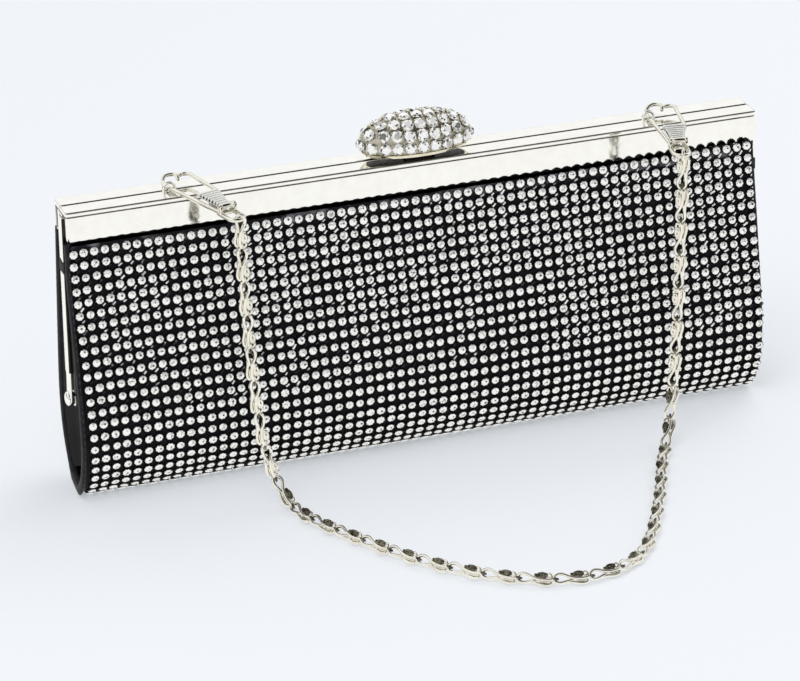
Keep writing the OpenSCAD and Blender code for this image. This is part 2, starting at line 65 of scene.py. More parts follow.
class Shape:
    """Points in millimetres and faces, each with the number of its material."""

    def __init__(self):
        self.points = []
        self.faces = []
        self.slots = []
        self.count = 0

    def add(self, points, faces, slots=0):
        points = np.asarray(points, float).reshape(-1, 3)
        base = self.count
        self.points.append(points)
        self.faces += [tuple(i + base for i in face) for face in faces]
        self.slots += [slots] * len(faces) if isinstance(slots, int) else list(slots)
        self.count += len(points)

    def grid(self, rows, slots=0, round_rows=False, round_cols=False):
        """Quads over rows of points. slots may give one number for each gap between rows."""
        rows = np.asarray(rows, float)
        n, m = rows.shape[:2]
        faces = []
        kinds = []
        for i in range(n if round_rows else n - 1):
            for j in range(m if round_cols else m - 1):
                a, b = i * m, (i + 1) % n * m
                k = (j + 1) % m
                faces.append((a + j, a + k, b + k, b + j))
                kinds.append(slots if isinstance(slots, int) else slots[i])
        self.add(rows, faces, kinds)
        return len(self.slots) - len(faces)

    def cap_rows(self, n, m, first=1, last=1, slot=0):
        """Faces over the first and last of the newest n rows of m points, wound on (1) or back (-1)."""
        base = self.count - n * m
        for row, way in ((0, first), (n - 1, last)):
            start = base + row * m
            self.faces.append(tuple(range(start, start + m))[::way])
            self.slots.append(slot)

    def cap_cols(self, n, m):
        """Faces over the two ends of the newest n rows of m points, where the rows close round."""
        base = self.count - n * m
        for j in (0, m - 1):
            self.faces.append(tuple(base + k * m + j for k in range(n)))
            self.slots.append(0)

    def tube(self, path, radius, sides=10, closed=False, slot=0):
        """Round wire along a path. radius may give one number for each point."""
        path = np.asarray(path, float)
        ahead, across = carried(path, closed)
        side = np.cross(ahead, across)
        turn = np.linspace(0, 2 * math.pi, sides, endpoint=False)
        radius = np.broadcast_to(np.asarray(radius, float), len(path))
        cos, sin = np.cos(turn)[None, :, None], np.sin(turn)[None, :, None]
        rows = path[:, None] + radius[:, None, None] * (cos * across[:, None] + sin * side[:, None])
        if closed:
            self.grid(rows, slot, round_rows=True, round_cols=True)
            return
        tip = TIP_LONG * radius[[0, -1], None]
        ends = path[[0, -1]] + tip * ahead[[0, -1]] * np.array([[-1], [1]])
        first = ends[0] + TIP_WIDE * (rows[0] - path[0])
        last = ends[1] + TIP_WIDE * (rows[-1] - path[-1])
        rows = np.concatenate([[first], rows, [last]])
        self.grid(rows, slot, round_cols=True)
        self.cap_rows(len(rows), sides, -1, 1, slot)

    def make(self, name, *materials, smooth=True, sharp=38):
        mesh = bpy.data.meshes.new(name)
        mesh.from_pydata((np.concatenate(self.points) * MM).tolist(), [], self.faces)
        for material in materials:
            mesh.materials.append(material)
        mesh.polygons.foreach_set("material_index", self.slots)
        if smooth:
            mesh.polygons.foreach_set("use_smooth", [True] * len(mesh.polygons))
            mesh.set_sharp_from_angle(angle=math.radians(sharp))
        mesh.validate()
        mesh.update()
        return new_object(name, mesh)


def unit(v):
    v = np.asarray(v, float)
    return v / np.linalg.norm(v, axis=-1, keepdims=True)


def carried(path, closed=False):
    """Directions ahead and across at each point of a path, carried along without a twist."""
    step = np.roll(path, -1, 0) - np.roll(path, 1, 0) if closed else np.gradient(path, axis=0)
    ahead = unit(step)
    first = np.eye(3)[np.argmin(np.abs(ahead[0]))]
    across = []
    for t in ahead:
        first = unit(first - (first @ t) * t)
        across.append(first)
    return ahead, np.array(across)


def smooth_path(points, per=4):
    """A smooth curve through the points."""
    p = np.asarray(points, float)
    p = np.concatenate([[2 * p[0] - p[1]], p, [2 * p[-1] - p[-2]]])
    out = []
    for i in range(1, len(p) - 2):
        a, b, c, d = p[i - 1:i + 3]
        for t in np.arange(per) / per:
            out.append(0.5 * (2 * b + (c - a) * t + (2 * a - 5 * b + 4 * c - d) * t ** 2
                              + (3 * b - a - 3 * c + d) * t ** 3))
    return np.array(out + [p[-2]])


def ramp(t):
    """A soft step from 0 to 1."""
    t = np.clip(t, 0, 1)
    return t * t * (3 - 2 * t)


# Material helpers
def new_material(name, color, roughness, metallic=0.0, **sockets):
    material = bpy.data.materials.new(name)
    material.use_nodes = True
    shader = material.node_tree.nodes["Principled BSDF"]
    shader.inputs["Base Color"].default_value = (*color, 1)
    shader.inputs["Roughness"].default_value = roughness
    shader.inputs["Metallic"].default_value = metallic
    for key, value in sockets.items():
        shader.inputs[key.replace("_", " ")].default_value = value
    return material


def node(tree, kind, inputs=None, **settings):
    new = tree.nodes.new(kind)
    for key, value in settings.items():
        setattr(new, key, value)
    for key, value in (inputs or {}).items():
        if isinstance(value, bpy.types.NodeSocket):
            tree.links.new(value, new.inputs[key])
        else:
            new.inputs[key].default_value = value
    return new


def reckon(tree, operation, *values):
    return node(tree, "ShaderNodeMath", dict(enumerate(values)), operation=operation).outputs[0]


def mapped(tree, value, span, to):
    """A value's span drawn onto another one."""
    return node(tree, "ShaderNodeMapRange", {"Value": value, "From Min": span[0], "From Max": span[1],
                                             "To Min": to[0], "To Max": to[1]}).outputs[0]


def spots(material, scale, detail=2.0, stretch=(1, 1, 1)):
    """Noise over the piece's own coordinates, in features per metre."""
    tree = material.node_tree
    where = node(tree, "ShaderNodeTexCoord").outputs["Object"]
    where = node(tree, "ShaderNodeVectorMath", {0: where, 1: stretch}, operation="MULTIPLY").outputs[0]
    noise = node(tree, "ShaderNodeTexNoise", {"Vector": where, "Scale": scale, "Detail": detail})
    return noise.outputs["Fac"]


def vary(material, fac, socket, low, high, span=(0.3, 0.7)):
    """Drives a shader socket from low to high, by a factor."""
    tree = material.node_tree
    if isinstance(low, tuple):
        blend = node(tree, "ShaderNodeValToRGB", {"Fac": fac})
        for element, place, color in zip(blend.color_ramp.elements, span, (low, high)):
            element.position = place
            element.color = (*color, 1)
        out = blend.outputs["Color"]
    else:
        out = mapped(tree, fac, span, (low, high))
    tree.links.new(out, tree.nodes["Principled BSDF"].inputs[socket])


def bump(material, height, strength, distance):
    tree = material.node_tree
    made = node(tree, "ShaderNodeBump", {"Height": height, "Strength": strength, "Distance": distance})
    tree.links.new(made.outputs["Normal"], tree.nodes["Principled BSDF"].inputs["Normal"])


def weave(material, pitch, turn=0.0):
    """Height of a plain weave with threads a pitch apart, in metres."""
    tree = material.node_tree
    where = node(tree, "ShaderNodeTexCoord").outputs["Object"]
    where = node(tree, "ShaderNodeMapping", {"Vector": where, "Rotation": (turn, 0.0, 0.0)}).outputs[0]
    bands = []
    for axis in ("X", "Z"):
        wave = node(tree, "ShaderNodeTexWave", {"Vector": where, "Scale": 0.314 / pitch, "Distortion": 0.4,
                                                "Detail": 1.0}, wave_type="BANDS", bands_direction=axis)
        bands.append(wave.outputs["Fac"])
    return reckon(tree, "MULTIPLY", *bands)


def metal(name, dark, light, rough, wave=0.0, grain=260):
    """Plate with a fine change of colour and gloss, and a slight wave in the sheet."""
    made = new_material(name, light, rough[0], 1.0)
    vary(made, spots(made, grain, 3.0), "Base Color", dark, light)
    vary(made, spots(made, 900, 2.0), "Roughness", *rough)
    if wave:
        bump(made, spots(made, 45, 1.0), wave, 0.0004)
    return made


def gem(name, color, dark, light, rough=0.12, metallic=0.7, coat=0.3, grain=420):
    """Facets of foil-backed stone under a clear coat."""
    made = new_material(name, color, rough, metallic, Coat_Weight=coat, Coat_Roughness=0.04)
    vary(made, spots(made, grain), "Base Color", dark, light)
    return made


# Materials
nickel = metal("nickel_plate", (0.91, 0.90, 0.865), (0.965, 0.96, 0.935), (0.045, 0.10), 0.03)
# Near-black nickel in gaps, notches and under the knob: painted shade
painted_shade_nickel = metal("nickel_painted_shade", (0.02, 0.018, 0.016), (0.05, 0.045, 0.04), (0.30, 0.42))
# Darker nickel in the grooves and under the lip: painted shade
painted_groove_shade = metal("nickel_groove_painted_shade", (0.16, 0.15, 0.13), (0.28, 0.265, 0.235), (0.30, 0.42))
# Darker nickel on the rounded edges, a painted dark reflection, and in the gap by the left arms, painted
# shade
painted_dark_line = metal("nickel_crease_painted_dark_line", (0.28, 0.265, 0.23), (0.44, 0.42, 0.37), (0.30, 0.42))
# Dark metal for the chain's coils, pockets and tails: painted shade in the hollows of the wires
chain_painted_shade = metal("chain_recess_painted_shade", (0.012, 0.010, 0.007), (0.30, 0.27, 0.20), (0.22, 0.36), grain=620)
pave = metal("pave_bed", (0.42, 0.40, 0.33), (0.66, 0.63, 0.53), (0.25, 0.40))
gilt = metal("pale_gilt", (0.74, 0.68, 0.52), (0.90, 0.86, 0.72), (0.10, 0.20))
wire = metal("chain_plate", (0.80, 0.77, 0.68), (0.93, 0.91, 0.84), (0.05, 0.12))
clip_plate = metal("clip_plate", (0.78, 0.75, 0.66), (0.92, 0.90, 0.82), (0.05, 0.11))
pad_plate = metal("clip_pad", (0.84, 0.84, 0.81), (0.95, 0.95, 0.92), (0.32, 0.44))
steel = metal("spring_steel", (0.42, 0.42, 0.42), (0.62, 0.62, 0.61), (0.22, 0.40))

stone = gem("stone_white", (0.97, 0.97, 0.95), (0.93, 0.93, 0.91), (1.0, 1.0, 0.975), metallic=0.55)
vary(stone, spots(stone, 700), "Roughness", 0.08, 0.2)
clear_gem = gem("gem_white", (0.99, 0.99, 0.97), (0.95, 0.95, 0.93), (1.0, 1.0, 0.98), 0.1, metallic=0.3)
vary(clear_gem, spots(clear_gem, 700), "Roughness", 0.06, 0.16)
# Grey and dark facets of the stones: painted reflections
stone_grey_painted_reflection = gem("stone_grey_painted_reflection", (0.55, 0.55, 0.53), (0.36, 0.36, 0.34), (0.66, 0.66, 0.63), coat=0.4)
stone_dark_painted_reflection = gem("stone_dark_painted_reflection", (0.10, 0.10, 0.10), (0.03, 0.03, 0.03), (0.20, 0.20, 0.19), grain=380)

cup = new_material("cup_black", (0.005, 0.005, 0.006), 0.4, 0.0, Specular_IOR_Level=0.25)
vary(cup, spots(cup, 500), "Roughness", 0.3, 0.5)
vary(cup, spots(cup, 150), "Base Color", (0.003, 0.003, 0.004), (0.010, 0.010, 0.012))

cloth = new_material("cloth_black", (0.005, 0.005, 0.006), 0.7, 0.0, Specular_IOR_Level=0.15)
vary(cloth, spots(cloth, 220, 3.0), "Base Color", (0.003, 0.003, 0.004), (0.010, 0.010, 0.012))
bump(cloth, weave(cloth, 0.0006), 0.5, 0.0002)

satin = new_material("satin_black", (0.006, 0.006, 0.008), 0.42, 0.0, Specular_IOR_Level=0.3)
vary(satin, spots(satin, 120, 3.0), "Base Color", (0.003, 0.003, 0.004), (0.012, 0.012, 0.015))
vary(satin, spots(satin, 60, 2.0), "Roughness", 0.34, 0.55)
bump(satin, weave(satin, 0.0004), 0.35, 0.00015)

# Pale flecks along the hem: painted sheen on the satin
hem_satin_painted_sheen = new_material("hem_satin_painted_sheen", (0.004, 0.004, 0.005), 0.5, 0.0, Specular_IOR_Level=0.12)
vary(hem_satin_painted_sheen, spots(hem_satin_painted_sheen, 230, 3.0, (0.5, 1, 1)), "Base Color",
     (0.010, 0.010, 0.012), (0.24, 0.24, 0.27), (0.52, 0.74))
bump(hem_satin_painted_sheen, weave(hem_satin_painted_sheen, 0.0004), 0.3, 0.00015)

tape = new_material("binding_black", (0.008, 0.008, 0.009), 0.6, 0.0, Specular_IOR_Level=0.2)
vary(tape, spots(tape, 300, 3.0), "Base Color", (0.004, 0.004, 0.005), (0.018, 0.018, 0.021))
bump(tape, weave(tape, 0.0007, 0.6), 0.6, 0.0003)

thread = new_material("thread_black", (0.02, 0.02, 0.023), 0.45, 0.0, Specular_IOR_Level=0.3)
vary(thread, spots(thread, 900), "Base Color", (0.010, 0.010, 0.012), (0.05, 0.05, 0.055))

board = new_material("fibreboard", (0.30, 0.23, 0.16), 0.8)
vary(board, spots(board, 700, 4.0, (1, 1, 0.4)), "Base Color", (0.22, 0.16, 0.11), (0.38, 0.30, 0.21))
bump(board, spots(board, 900, 3.0), 0.4, 0.0002)

# Flat rungs of the mesh with painted glints: some bright and some dull, in drifts, and brighter towards the
# right
rung_painted_glint = new_material("mesh_rung_painted_glint", (0.5, 0.5, 0.52), 0.2, 0.7)
rung_tree = rung_painted_glint.node_tree
rung_x = node(rung_tree, "ShaderNodeSeparateXYZ",
              {0: node(rung_tree, "ShaderNodeTexCoord").outputs["Object"]}).outputs["X"]
glint_right = mapped(rung_tree, rung_x, (-0.12, 0.11), (-0.17, 0.11))
glint_drift = reckon(rung_tree, "MULTIPLY_ADD", spots(rung_painted_glint, 34, 2.0), 1.4, glint_right)
glint_all = reckon(rung_tree, "MULTIPLY_ADD", spots(rung_painted_glint, 420, 0.0), 0.55, glint_drift)
vary(rung_painted_glint, glint_all, "Base Color", (0.02, 0.02, 0.022), (0.96, 0.96, 0.95), (0.90, 1.16))

# Body outline: half depth and height, from the middle of the bottom up to the frame
OVAL = 2.15
BELLY_Z = 27
BELLY_HALF = 19.2
BELLY_DROP = 28.2
EDGE_Z = 91
TAPER = 9
EASE = 8.5
NEAR = 0.6
flat_angle = math.acos((BELLY_Z / BELLY_DROP) ** (OVAL / 2))
fall = TAPER / (math.hypot(EDGE_Z - BELLY_Z, EASE) - EASE)
half_line = [(0.0, 0.0)]
for a in np.linspace(flat_angle, math.pi / 2, 60):
    half_line.append((BELLY_HALF * math.sin(a) ** (2 / OVAL),
                      BELLY_Z - BELLY_DROP * max(math.cos(a), 0.0) ** (2 / OVAL)))
for z in np.linspace(BELLY_Z, EDGE_Z, 60)[1:]:
    half_line.append((BELLY_HALF - fall * (math.hypot(z - BELLY_Z, EASE) - EASE), z))
half_line += [(9.85, 92.4), (9.3, 93.5), (8.6, 94.4), (8.1, 94.8)]
half_line = np.array(half_line)
half_run = np.concatenate([[0], np.cumsum(np.hypot(*np.diff(half_line, axis=0).T))])
TOP_RUN = float(np.interp(EDGE_Z, half_line[60:120, 1], half_run[60:120]))


def outline_at(at):
    """Half depth and height at a run along the outline."""
    return np.interp(at, half_run, half_line[:, 0]), np.interp(at, half_run, half_line[:, 1])


def skin(run, depth=0.0):
    """Y, Z and the outward direction at a run from the bottom's middle. Front runs are above 0."""
    run = np.asarray(run, float)
    at = np.abs(run)
    y, z = outline_at(at)
    ahead_y, ahead_z = outline_at(at + NEAR)
    behind_y, behind_z = outline_at(np.maximum(at - NEAR, 0))
    dy, dz = ahead_y - behind_y, ahead_z - behind_z
    long = np.hypot(dy, dz)
    out_y, out_z = dz / long, -dy / long
    y, z = y - depth * out_y, z - depth * out_z
    flip = np.where(run > 0, -1.0, 1.0)
    return flip * y, z, flip * out_y, out_z


# Way and span round the back of the bottom, from the front half to the back half, passed to soft pieces
SOFT_WAY = (0, 0.961, 0.276)
SOFT_FROM = tuple(MM * 20 * k for k in SOFT_WAY)
SOFT_TO = tuple(MM * 30 * k for k in SOFT_WAY)
# Span for the back stones, given by their height alone
STONES_FROM = (0, 0, 0.009)
STONES_TO = (0, 0, 0.058)


def stand_for(nodes):
    if nodes:
        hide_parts(*nodes)


def soft(obj, slot_name, *nodes, start=SOFT_FROM, end=SOFT_TO):
    """A piece between the two halves, its transform baked in."""
    stand_for(nodes)
    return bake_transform(obj)


def ride(obj, body, slot_name, *nodes):
    """A piece that moves with one body."""
    stand_for(nodes)
    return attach(obj, body)


LEFT_END = -120.4
RIGHT_END = 117.0
BACK_SHORT = 1.8
TOP_SHORT = 0.4


def left_end(run):
    """Left end of the panels. The back one stops a little short of the front one."""
    run = np.asarray(run, float)
    return LEFT_END + BACK_SHORT * ramp((12 - run) / 30) + TOP_SHORT * ramp((run - 88) / 12)


def all_round(top, per=60, low=6.2):
    """Runs from the back's top over the bottom to the front's top."""
    return np.concatenate([np.linspace(-top, -6.5, per), np.linspace(-low, low, 9),
                           np.linspace(6.5, top, per)])


def shell(inset, runs, outer, inner, cols=40):
    """A layer of the body between two depths, inset from the panels' ends and closed all round."""
    made = Shape()
    low = left_end(runs)[:, None] + inset
    layers = []
    for depth in (outer, inner):
        y, z, _, _ = skin(runs, depth)
        rows = np.zeros((len(runs), cols, 3))
        rows[..., 0] = low + (RIGHT_END - inset - low) * np.linspace(0, 1, cols)
        rows[..., 1] = y[:, None]
        rows[..., 2] = z[:, None]
        layers.append(rows)
    made.grid(np.concatenate([layers[0], layers[1][::-1]]), round_rows=True)
    n = len(runs)
    for j, turn in ((0, 1), (cols - 1, -1)):
        for i in range(n - 1):
            a, b = i * cols + j, (i + 1) * cols + j
            c, d = (2 * n - 2 - i) * cols + j, (2 * n - 1 - i) * cols + j
            made.faces.append((a, b, c, d)[::turn])
            made.slots.append(0)
    return made


# Chain, first: its route is the one the solids follow
route = [[-69.58, -35.24, 102.36], [-69.5, -35, 88], [-69, -35, 76], [-68.5, -35, 64], [-68, -35, 52],
         [-67, -35, 40], [-66, -35, 28], [-64, -35.5, 16], [-61.5, -37.5, 7.5], [-59, -45, 2.4],
         [-56.5, -55, 2.4], [-51.5, -66, 2.4], [-45, -78, 2.4], [-38.5, -89.5, 2.4], [-31.5, -100, 2.4],
         [-23, -110, 2.4], [-13, -118.5, 2.4], [-2.5, -125.5, 2.4], [9, -129, 2.4], [20.5, -128.5, 2.4],
         [32, -122.5, 2.4], [40.5, -110.5, 2.4], [48.5, -95.5, 2.4], [55, -82, 2.4], [61, -68, 2.4],
         [67, -54, 2.4], [71.5, -46, 2.4], [75, -40, 6.5], [77, -38, 16], [78, -37.5, 28], [79, -37.5, 40],
         [79.5, -37.5, 52], [80, -37.5, 64], [80.5, -37.5, 76], [81, -37.5, 88], [81.42, -37.80, 102.36]]
route = np.array(route, float)
route_run = np.concatenate([[0], np.cumsum(np.linalg.norm(np.diff(route, axis=0), axis=1))])
LINKS = 37
PITCH = route_run[-1] / LINKS
link_ends = np.stack([np.interp(np.arange(LINKS + 1) * PITCH, route_run, route[:, k]) for k in range(3)], 1)

# One link lying along X, with Y across it and Z out of its face: an open loop that runs on as a long bright
# strand, a folded strand below it with a wire in painted shade in its pocket, a flat coil above it in
# painted shade, and an end that holds the next loop, its tail in painted shade
strand = [(5.2, -0.75, 0.1), (3.6, -0.95, 0), (2.0, -1.25, 0), (0.6, -1.25, 0.05), (-0.5, -0.7, 0.1),
          (-0.75, 0.2, 0.1), (-0.2, 1.05, 0.1), (0.9, 1.5, 0.1), (2.2, 1.35, 0.15), (3.4, 0.8, 0.3),
          (4.8, 0.15, 0.5), (6.6, -0.3, 0.6), (8.6, -0.45, 0.6), (10.2, -0.2, 0.45), (11.3, 0.15, 0.2)]
fold = [(3.4, -1.25, -0.2), (5.0, -1.3, 0.1), (6.8, -1.75, 0.2), (8.4, -2.0, 0.2), (9.6, -1.85, 0.1),
        (10.2, -1.35, 0), (9.8, -0.95, -0.1), (8.4, -1.05, -0.2), (6.8, -0.95, -0.2)]
pocket = [(7.4, -1.4, -0.25), (8.4, -1.5, -0.25), (9.3, -1.4, -0.25)]
coil = []
for t in np.linspace(0, 1.75, 22):
    turn = 2.83 + 2 * math.pi * t
    wide, high = 2.1 - 0.75 * t, 0.85 - 0.33 * t
    coil.append((7.1 + wide * math.cos(turn), 1.05 + high * math.sin(turn), 0.35 + 0.12 * t))
bend = [(9.0, 1.55, 0.3), (9.8, 1.5, 0.3), (10.3, 0.95, 0.3), (10.0, 0.4, 0.3), (9.3, 0.3, 0.3)]
tail = [(9.9, 0.2, -0.2), (10.9, 0.1, -0.5), (11.9, 0, -0.4), (12.3, 0, 0.2), (11.9, 0, 0.8),
        (11.0, 0.1, 0.8)]
# Each wire: its path, points to a step, radius and finish, bright plate (0) or painted shade (1)
link_wires = [(strand, 2, 0.55, 0), (fold, 2, 0.5, 0), (pocket, 2, 0.4, 1),
              (coil, 1, 0.46, 1), (bend, 2, 0.42, 0), (tail, 2, 0.42, 1)]
link_wires = [(smooth_path(path, per), radius, finish) for path, per, radius, finish in link_wires]
COIL = 3
LINK_LONG = 11.7
HANGS_FROM = 12
face_out = unit((-0.25, -0.8, 0.55))
links = Shape()
for i in range(LINKS):
    step = link_ends[i + 1] - link_ends[i]
    long = np.linalg.norm(step)
    t = step / long
    face = unit(face_out - (face_out @ t) * t)
    axes = np.stack([t * long / LINK_LONG, np.cross(face, t), face])
    # Where the chain hangs, the coils are bright too, without the painted shade they have on the floor
    hanging = link_ends[i][2] > HANGS_FROM
    for k, (path, radius, finish) in enumerate(link_wires):
        links.tube(link_ends[i] + path @ axes, radius, 7, slot=0 if hanging and k == COIL else finish)
# Last ring, round the right clip's eye
turn = np.linspace(0, 2 * math.pi, 20, endpoint=False)
ring = np.stack([10.9 + 1.7 * np.cos(turn), 0.1 * np.sin(turn), 1.5 * np.sin(turn)], 1)
links.tube(link_ends[LINKS - 1] + ring @ axes, 0.5, 8, closed=True)
chain = ride(links.make("chain", wire, chain_painted_shade, sharp=60), "front_half", "nickel", "chain_links")

# Stones and their cups: 65 columns, and rows all round from the front's top to the back's top
COLS = 65
COL_PITCH = 3.6625
FIRST_COL = -118.7
ROW_PITCH = 4.12
ROWS = 50
FIRST_ROW = 100.4
ROW_TILT = 0.0113
SEAT = 1.5
END_CLEAR = 1.2
TOP_CLEAR = 2.2
FRONT_FROM = 6
STONE_R = 1.43
CUP_R = 1.72
# Shares of dark tables, grey large facets and grey small facets, which are painted reflections, and of
# rungs that show, and where the rungs end
PAINTED_DARK_TABLE = 0.6
PAINTED_GREY_LARGE = 0.13
PAINTED_GREY_SMALL = 0.05
RUNG_SHARE = 0.85
RUNG_LOW = 32
# How far stones tilt and stray at random
TILT = 0.035
STRAY = 0.05
eight = np.arange(8) * math.pi / 4


def ring_of(radius, height, turn=0.0, at=(0.0, 0.0)):
    """Eight points round a stone or its cup."""
    return np.stack([at[0] + radius * np.cos(eight + turn), at[1] + radius * np.sin(eight + turn),
                     np.full(8, height)], 1)


crown_faces = []
for j in range(8):
    k = (j + 1) % 8
    crown_faces += [(j, k, 8 + j), (8 + j, k, 8 + k), (8 + j, 8 + k, 16 + k, 16 + j)]
crown_faces.append(tuple(range(16, 24)))
cup_points = np.concatenate([ring_of(CUP_R, 0), ring_of(CUP_R * 0.96, 0.45), ring_of(STONE_R * 1.02, 0.9)])
cup_faces = [(8 * r + j, 8 * r + (j + 1) % 8, 8 * r + 8 + (j + 1) % 8, 8 * r + 8 + j) for r in (0, 1)
             for j in range(8)] + [tuple(range(16, 24))]
bar_low = np.array([(-0.95, -0.42), (0.95, -0.42), (0.95, 0.42), (-0.95, 0.42)])


def bar_points(scale, turn):
    """A flat rung beside a stone, narrower on top."""
    c, s = math.cos(math.radians(turn)), math.sin(math.radians(turn))
    twist = np.array([[c, s], [-s, c]])
    low = (bar_low * scale) @ twist
    high = (bar_low * scale * (0.86, 0.6)) @ twist
    return np.concatenate([np.c_[low, np.zeros(4)], np.c_[high, np.full(4, 0.4)]]) + (1.2, -1.9, 0.4)


def drift(x, row):
    """How far a stone has slipped aside and upwards, since the cloth isn't quite even."""
    u = x / 117
    level = min(row, 17)
    aside = -0.75 + 0.35 * u + 0.45 * u * u + (0.09 - 0.02 * u) * level
    lift = 0.05 - 0.4 * u + 0.1 * u * u - 0.55 * (1 - u * u) * math.exp(-row / 2)
    lift -= 0.01 * max(level - 7, 0) ** 2
    corner = math.exp(-(x - FIRST_COL) / 8)
    fade = 1 - float(ramp((row - 22) / 8))
    return fade * (aside + 0.5 * corner * math.exp(-row)), fade * (lift - 0.6 * corner)


bar_faces = [(0, 1, 5, 4), (1, 2, 6, 5), (2, 3, 7, 6), (3, 0, 4, 7), (4, 5, 6, 7)]
parts = {side: {kind: Shape() for kind in ("stones", "cups", "rungs")} for side in ("front", "back")}
for row in range(ROWS):
    for col in range(COLS):
        x = FIRST_COL + COL_PITCH * col
        run = FIRST_ROW - ROW_PITCH * row + ROW_TILT * (x + 1.5)
        if x < left_end(run) + END_CLEAR or run < TOP_CLEAR - TOP_RUN:
            continue
        aside, lift = drift(x, row)
        x += aside
        run += lift
        y, z, out_y, out_z = (float(v) for v in skin(run, SEAT))
        out = np.array([0, out_y, out_z])
        up = np.array([0, -out_z, out_y]) * (-1 if run > 0 else 1)
        tip = chance.normal(0, TILT, 2)
        out = unit(out + tip[0] * up + tip[1] * np.array([1, 0, 0]))
        up = unit(up - (up @ out) * out)
        axes = np.stack([np.cross(up, out), up, out])
        place = np.array([x, y, z]) + chance.normal(0, STRAY, 2) @ axes[:2]
        side = parts["front" if run > FRONT_FROM else "back"]
        side["cups"].add(place + cup_points * ((1, 1, 1) if row else (0.95, 0.86, 0.9)) @ axes, cup_faces)
        turn = chance.uniform(0, math.pi / 4)
        # Where the small table sits, off the middle: its grey or dark colour is a painted reflection
        painted_spot_at = (0.22 + chance.normal(0, 0.1), 0.2 + chance.normal(0, 0.1))
        size = STONE_R * (1 + chance.normal(0, 0.02))
        crown = np.concatenate([ring_of(size, 0.86, turn), ring_of(0.66 * size, 1.10, turn + math.pi / 8),
                                ring_of(0.24 * size * chance.uniform(0.7, 1.25), 1.22, turn, painted_spot_at)])
        painted_reflection = [0] * len(crown_faces)
        painted_reflection[-1] = 2 if chance.random() < PAINTED_DARK_TABLE else 1
        for j in range(8):
            painted_reflection[3 * j + 2] = 1 if chance.random() < PAINTED_GREY_LARGE else 0
            painted_reflection[3 * j] = 1 if chance.random() < PAINTED_GREY_SMALL else 0
        side["stones"].add(place + crown @ axes, crown_faces, painted_reflection)
        if z > RUNG_LOW and chance.random() < RUNG_SHARE:
            bar = bar_points(chance.uniform(0.6, 1.1), 40 + chance.normal(0, 9))
            side["rungs"].add(place + (bar + (*chance.normal(0, 0.12, 2), 0)) @ axes, bar_faces)
mesh_parts = []
for side, kinds in parts.items():
    made = [kinds["stones"].make("stones_" + side, stone, stone_grey_painted_reflection, stone_dark_painted_reflection, smooth=False),
            kinds["cups"].make("cups_" + side, cup, sharp=50),
            kinds["rungs"].make("rungs_" + side, rung_painted_glint, smooth=False)]
    for obj, finish in zip(made, ("crystal", "cloth", "cloth")):
        if side == "front":
            ride(obj, "front_half", finish)
        else:
            soft(obj, finish, start=STONES_FROM, end=STONES_TO)
    mesh_parts += made

# Cloth under the mesh, boards behind it and the lining
HEM_RUN = TOP_RUN - 0.85
HEM_INSET = 0.5
whole = all_round(HEM_RUN - 1.6)
# Outer and inner depths of the layers
CLOTH_DEPTHS = (SEAT, 2.3)
BOARD_DEPTHS = (2.6, 3.8)
LINING_DEPTHS = (4.0, 4.5)
cover = soft(shell(0, whole, *CLOTH_DEPTHS).make("cover", cloth), "cloth",
             "front_cover", "base_cover", "back_cover")
# The back board stops above the fold that the cloth makes when the frame opens
BOARD_INSET = 2.5
BOARD_LOW = 38.5
BOARD_TOP = HEM_RUN - 1.8
FOLD_RUN = 26
front_board = shell(BOARD_INSET, np.linspace(BOARD_LOW, BOARD_TOP, 40), *BOARD_DEPTHS)
ride(front_board.make("front_board_panel", board), "front_half", "board", "front_board")
back_board = shell(BOARD_INSET, np.linspace(-BOARD_TOP, -BOARD_LOW - FOLD_RUN, 40), *BOARD_DEPTHS)
ride(back_board.make("back_board_panel", board), "back_half", "board", "back_board")
lining_shape = shell(3.0, whole, *LINING_DEPTHS, 60)
for k, points in enumerate(lining_shape.points):
    x, run = points[:, 0], points[:, 2]
    ripple = 0.10 * np.sin(0.31 * x + 0.06 * run) * np.sin(0.09 * x - 0.15 * run)
    lining_shape.points[k] = points + np.stack([0 * x, -np.sign(points[:, 1]) * np.abs(ripple), 0 * x], 1)
lining = soft(lining_shape.make("lining_cloth", satin), "lining", "lining")

# Hems along the tops of the panels: satin turned over the board's edge, with small puckers. Each point has
# its depth, its distance below the top and its share of the puckers
hem_line = [(1.42, 3.3, 0), (1.15, 2.8, 0.5), (1.2, 2.0, 1), (1.42, 1.3, 1), (1.72, 0.75, 0.8),
            (2.0, 0.4, 0.6), (2.2, 0.25, 0.4), (2.45, 0.33, 0.2), (2.7, 0.8, 0.1), (2.85, 1.2, 0),
            (3.9, 1.3, 0), (3.95, 1.6, 0), (2.2, 1.7, 0)]
for side, body, sign in (("front", "front_half", 1), ("back", "back_half", -1)):
    hem = Shape()
    share = np.linspace(0, 1, 240)
    rows = []
    for depth, down, lively in hem_line:
        low = left_end(sign * HEM_RUN) + HEM_INSET
        xs = low + (RIGHT_END - HEM_INSET - low) * share
        pucker = 0.16 * np.sin(0.9 * xs + 2.0 * np.sin(0.13 * xs)) * np.sin(0.21 * xs + 1.0)
        y, z, out_y, out_z = (float(v) for v in skin(sign * (HEM_RUN - down), depth))
        lift = lively * pucker
        rows.append(np.stack([xs, y + out_y * lift, z + 0.4 * lift], 1))
    hem.grid(rows, round_rows=True)
    hem.cap_cols(len(rows), len(share))
    ride(hem.make("top_hem_" + side, hem_satin_painted_sheen, sharp=70), body, "binding")

# Bindings round the ends of the panels, with their stitches
bindings = Shape()
stitch = Shape()
STITCH_PITCH = 2.6
runs = all_round(TOP_RUN - 0.2, 70, 6)
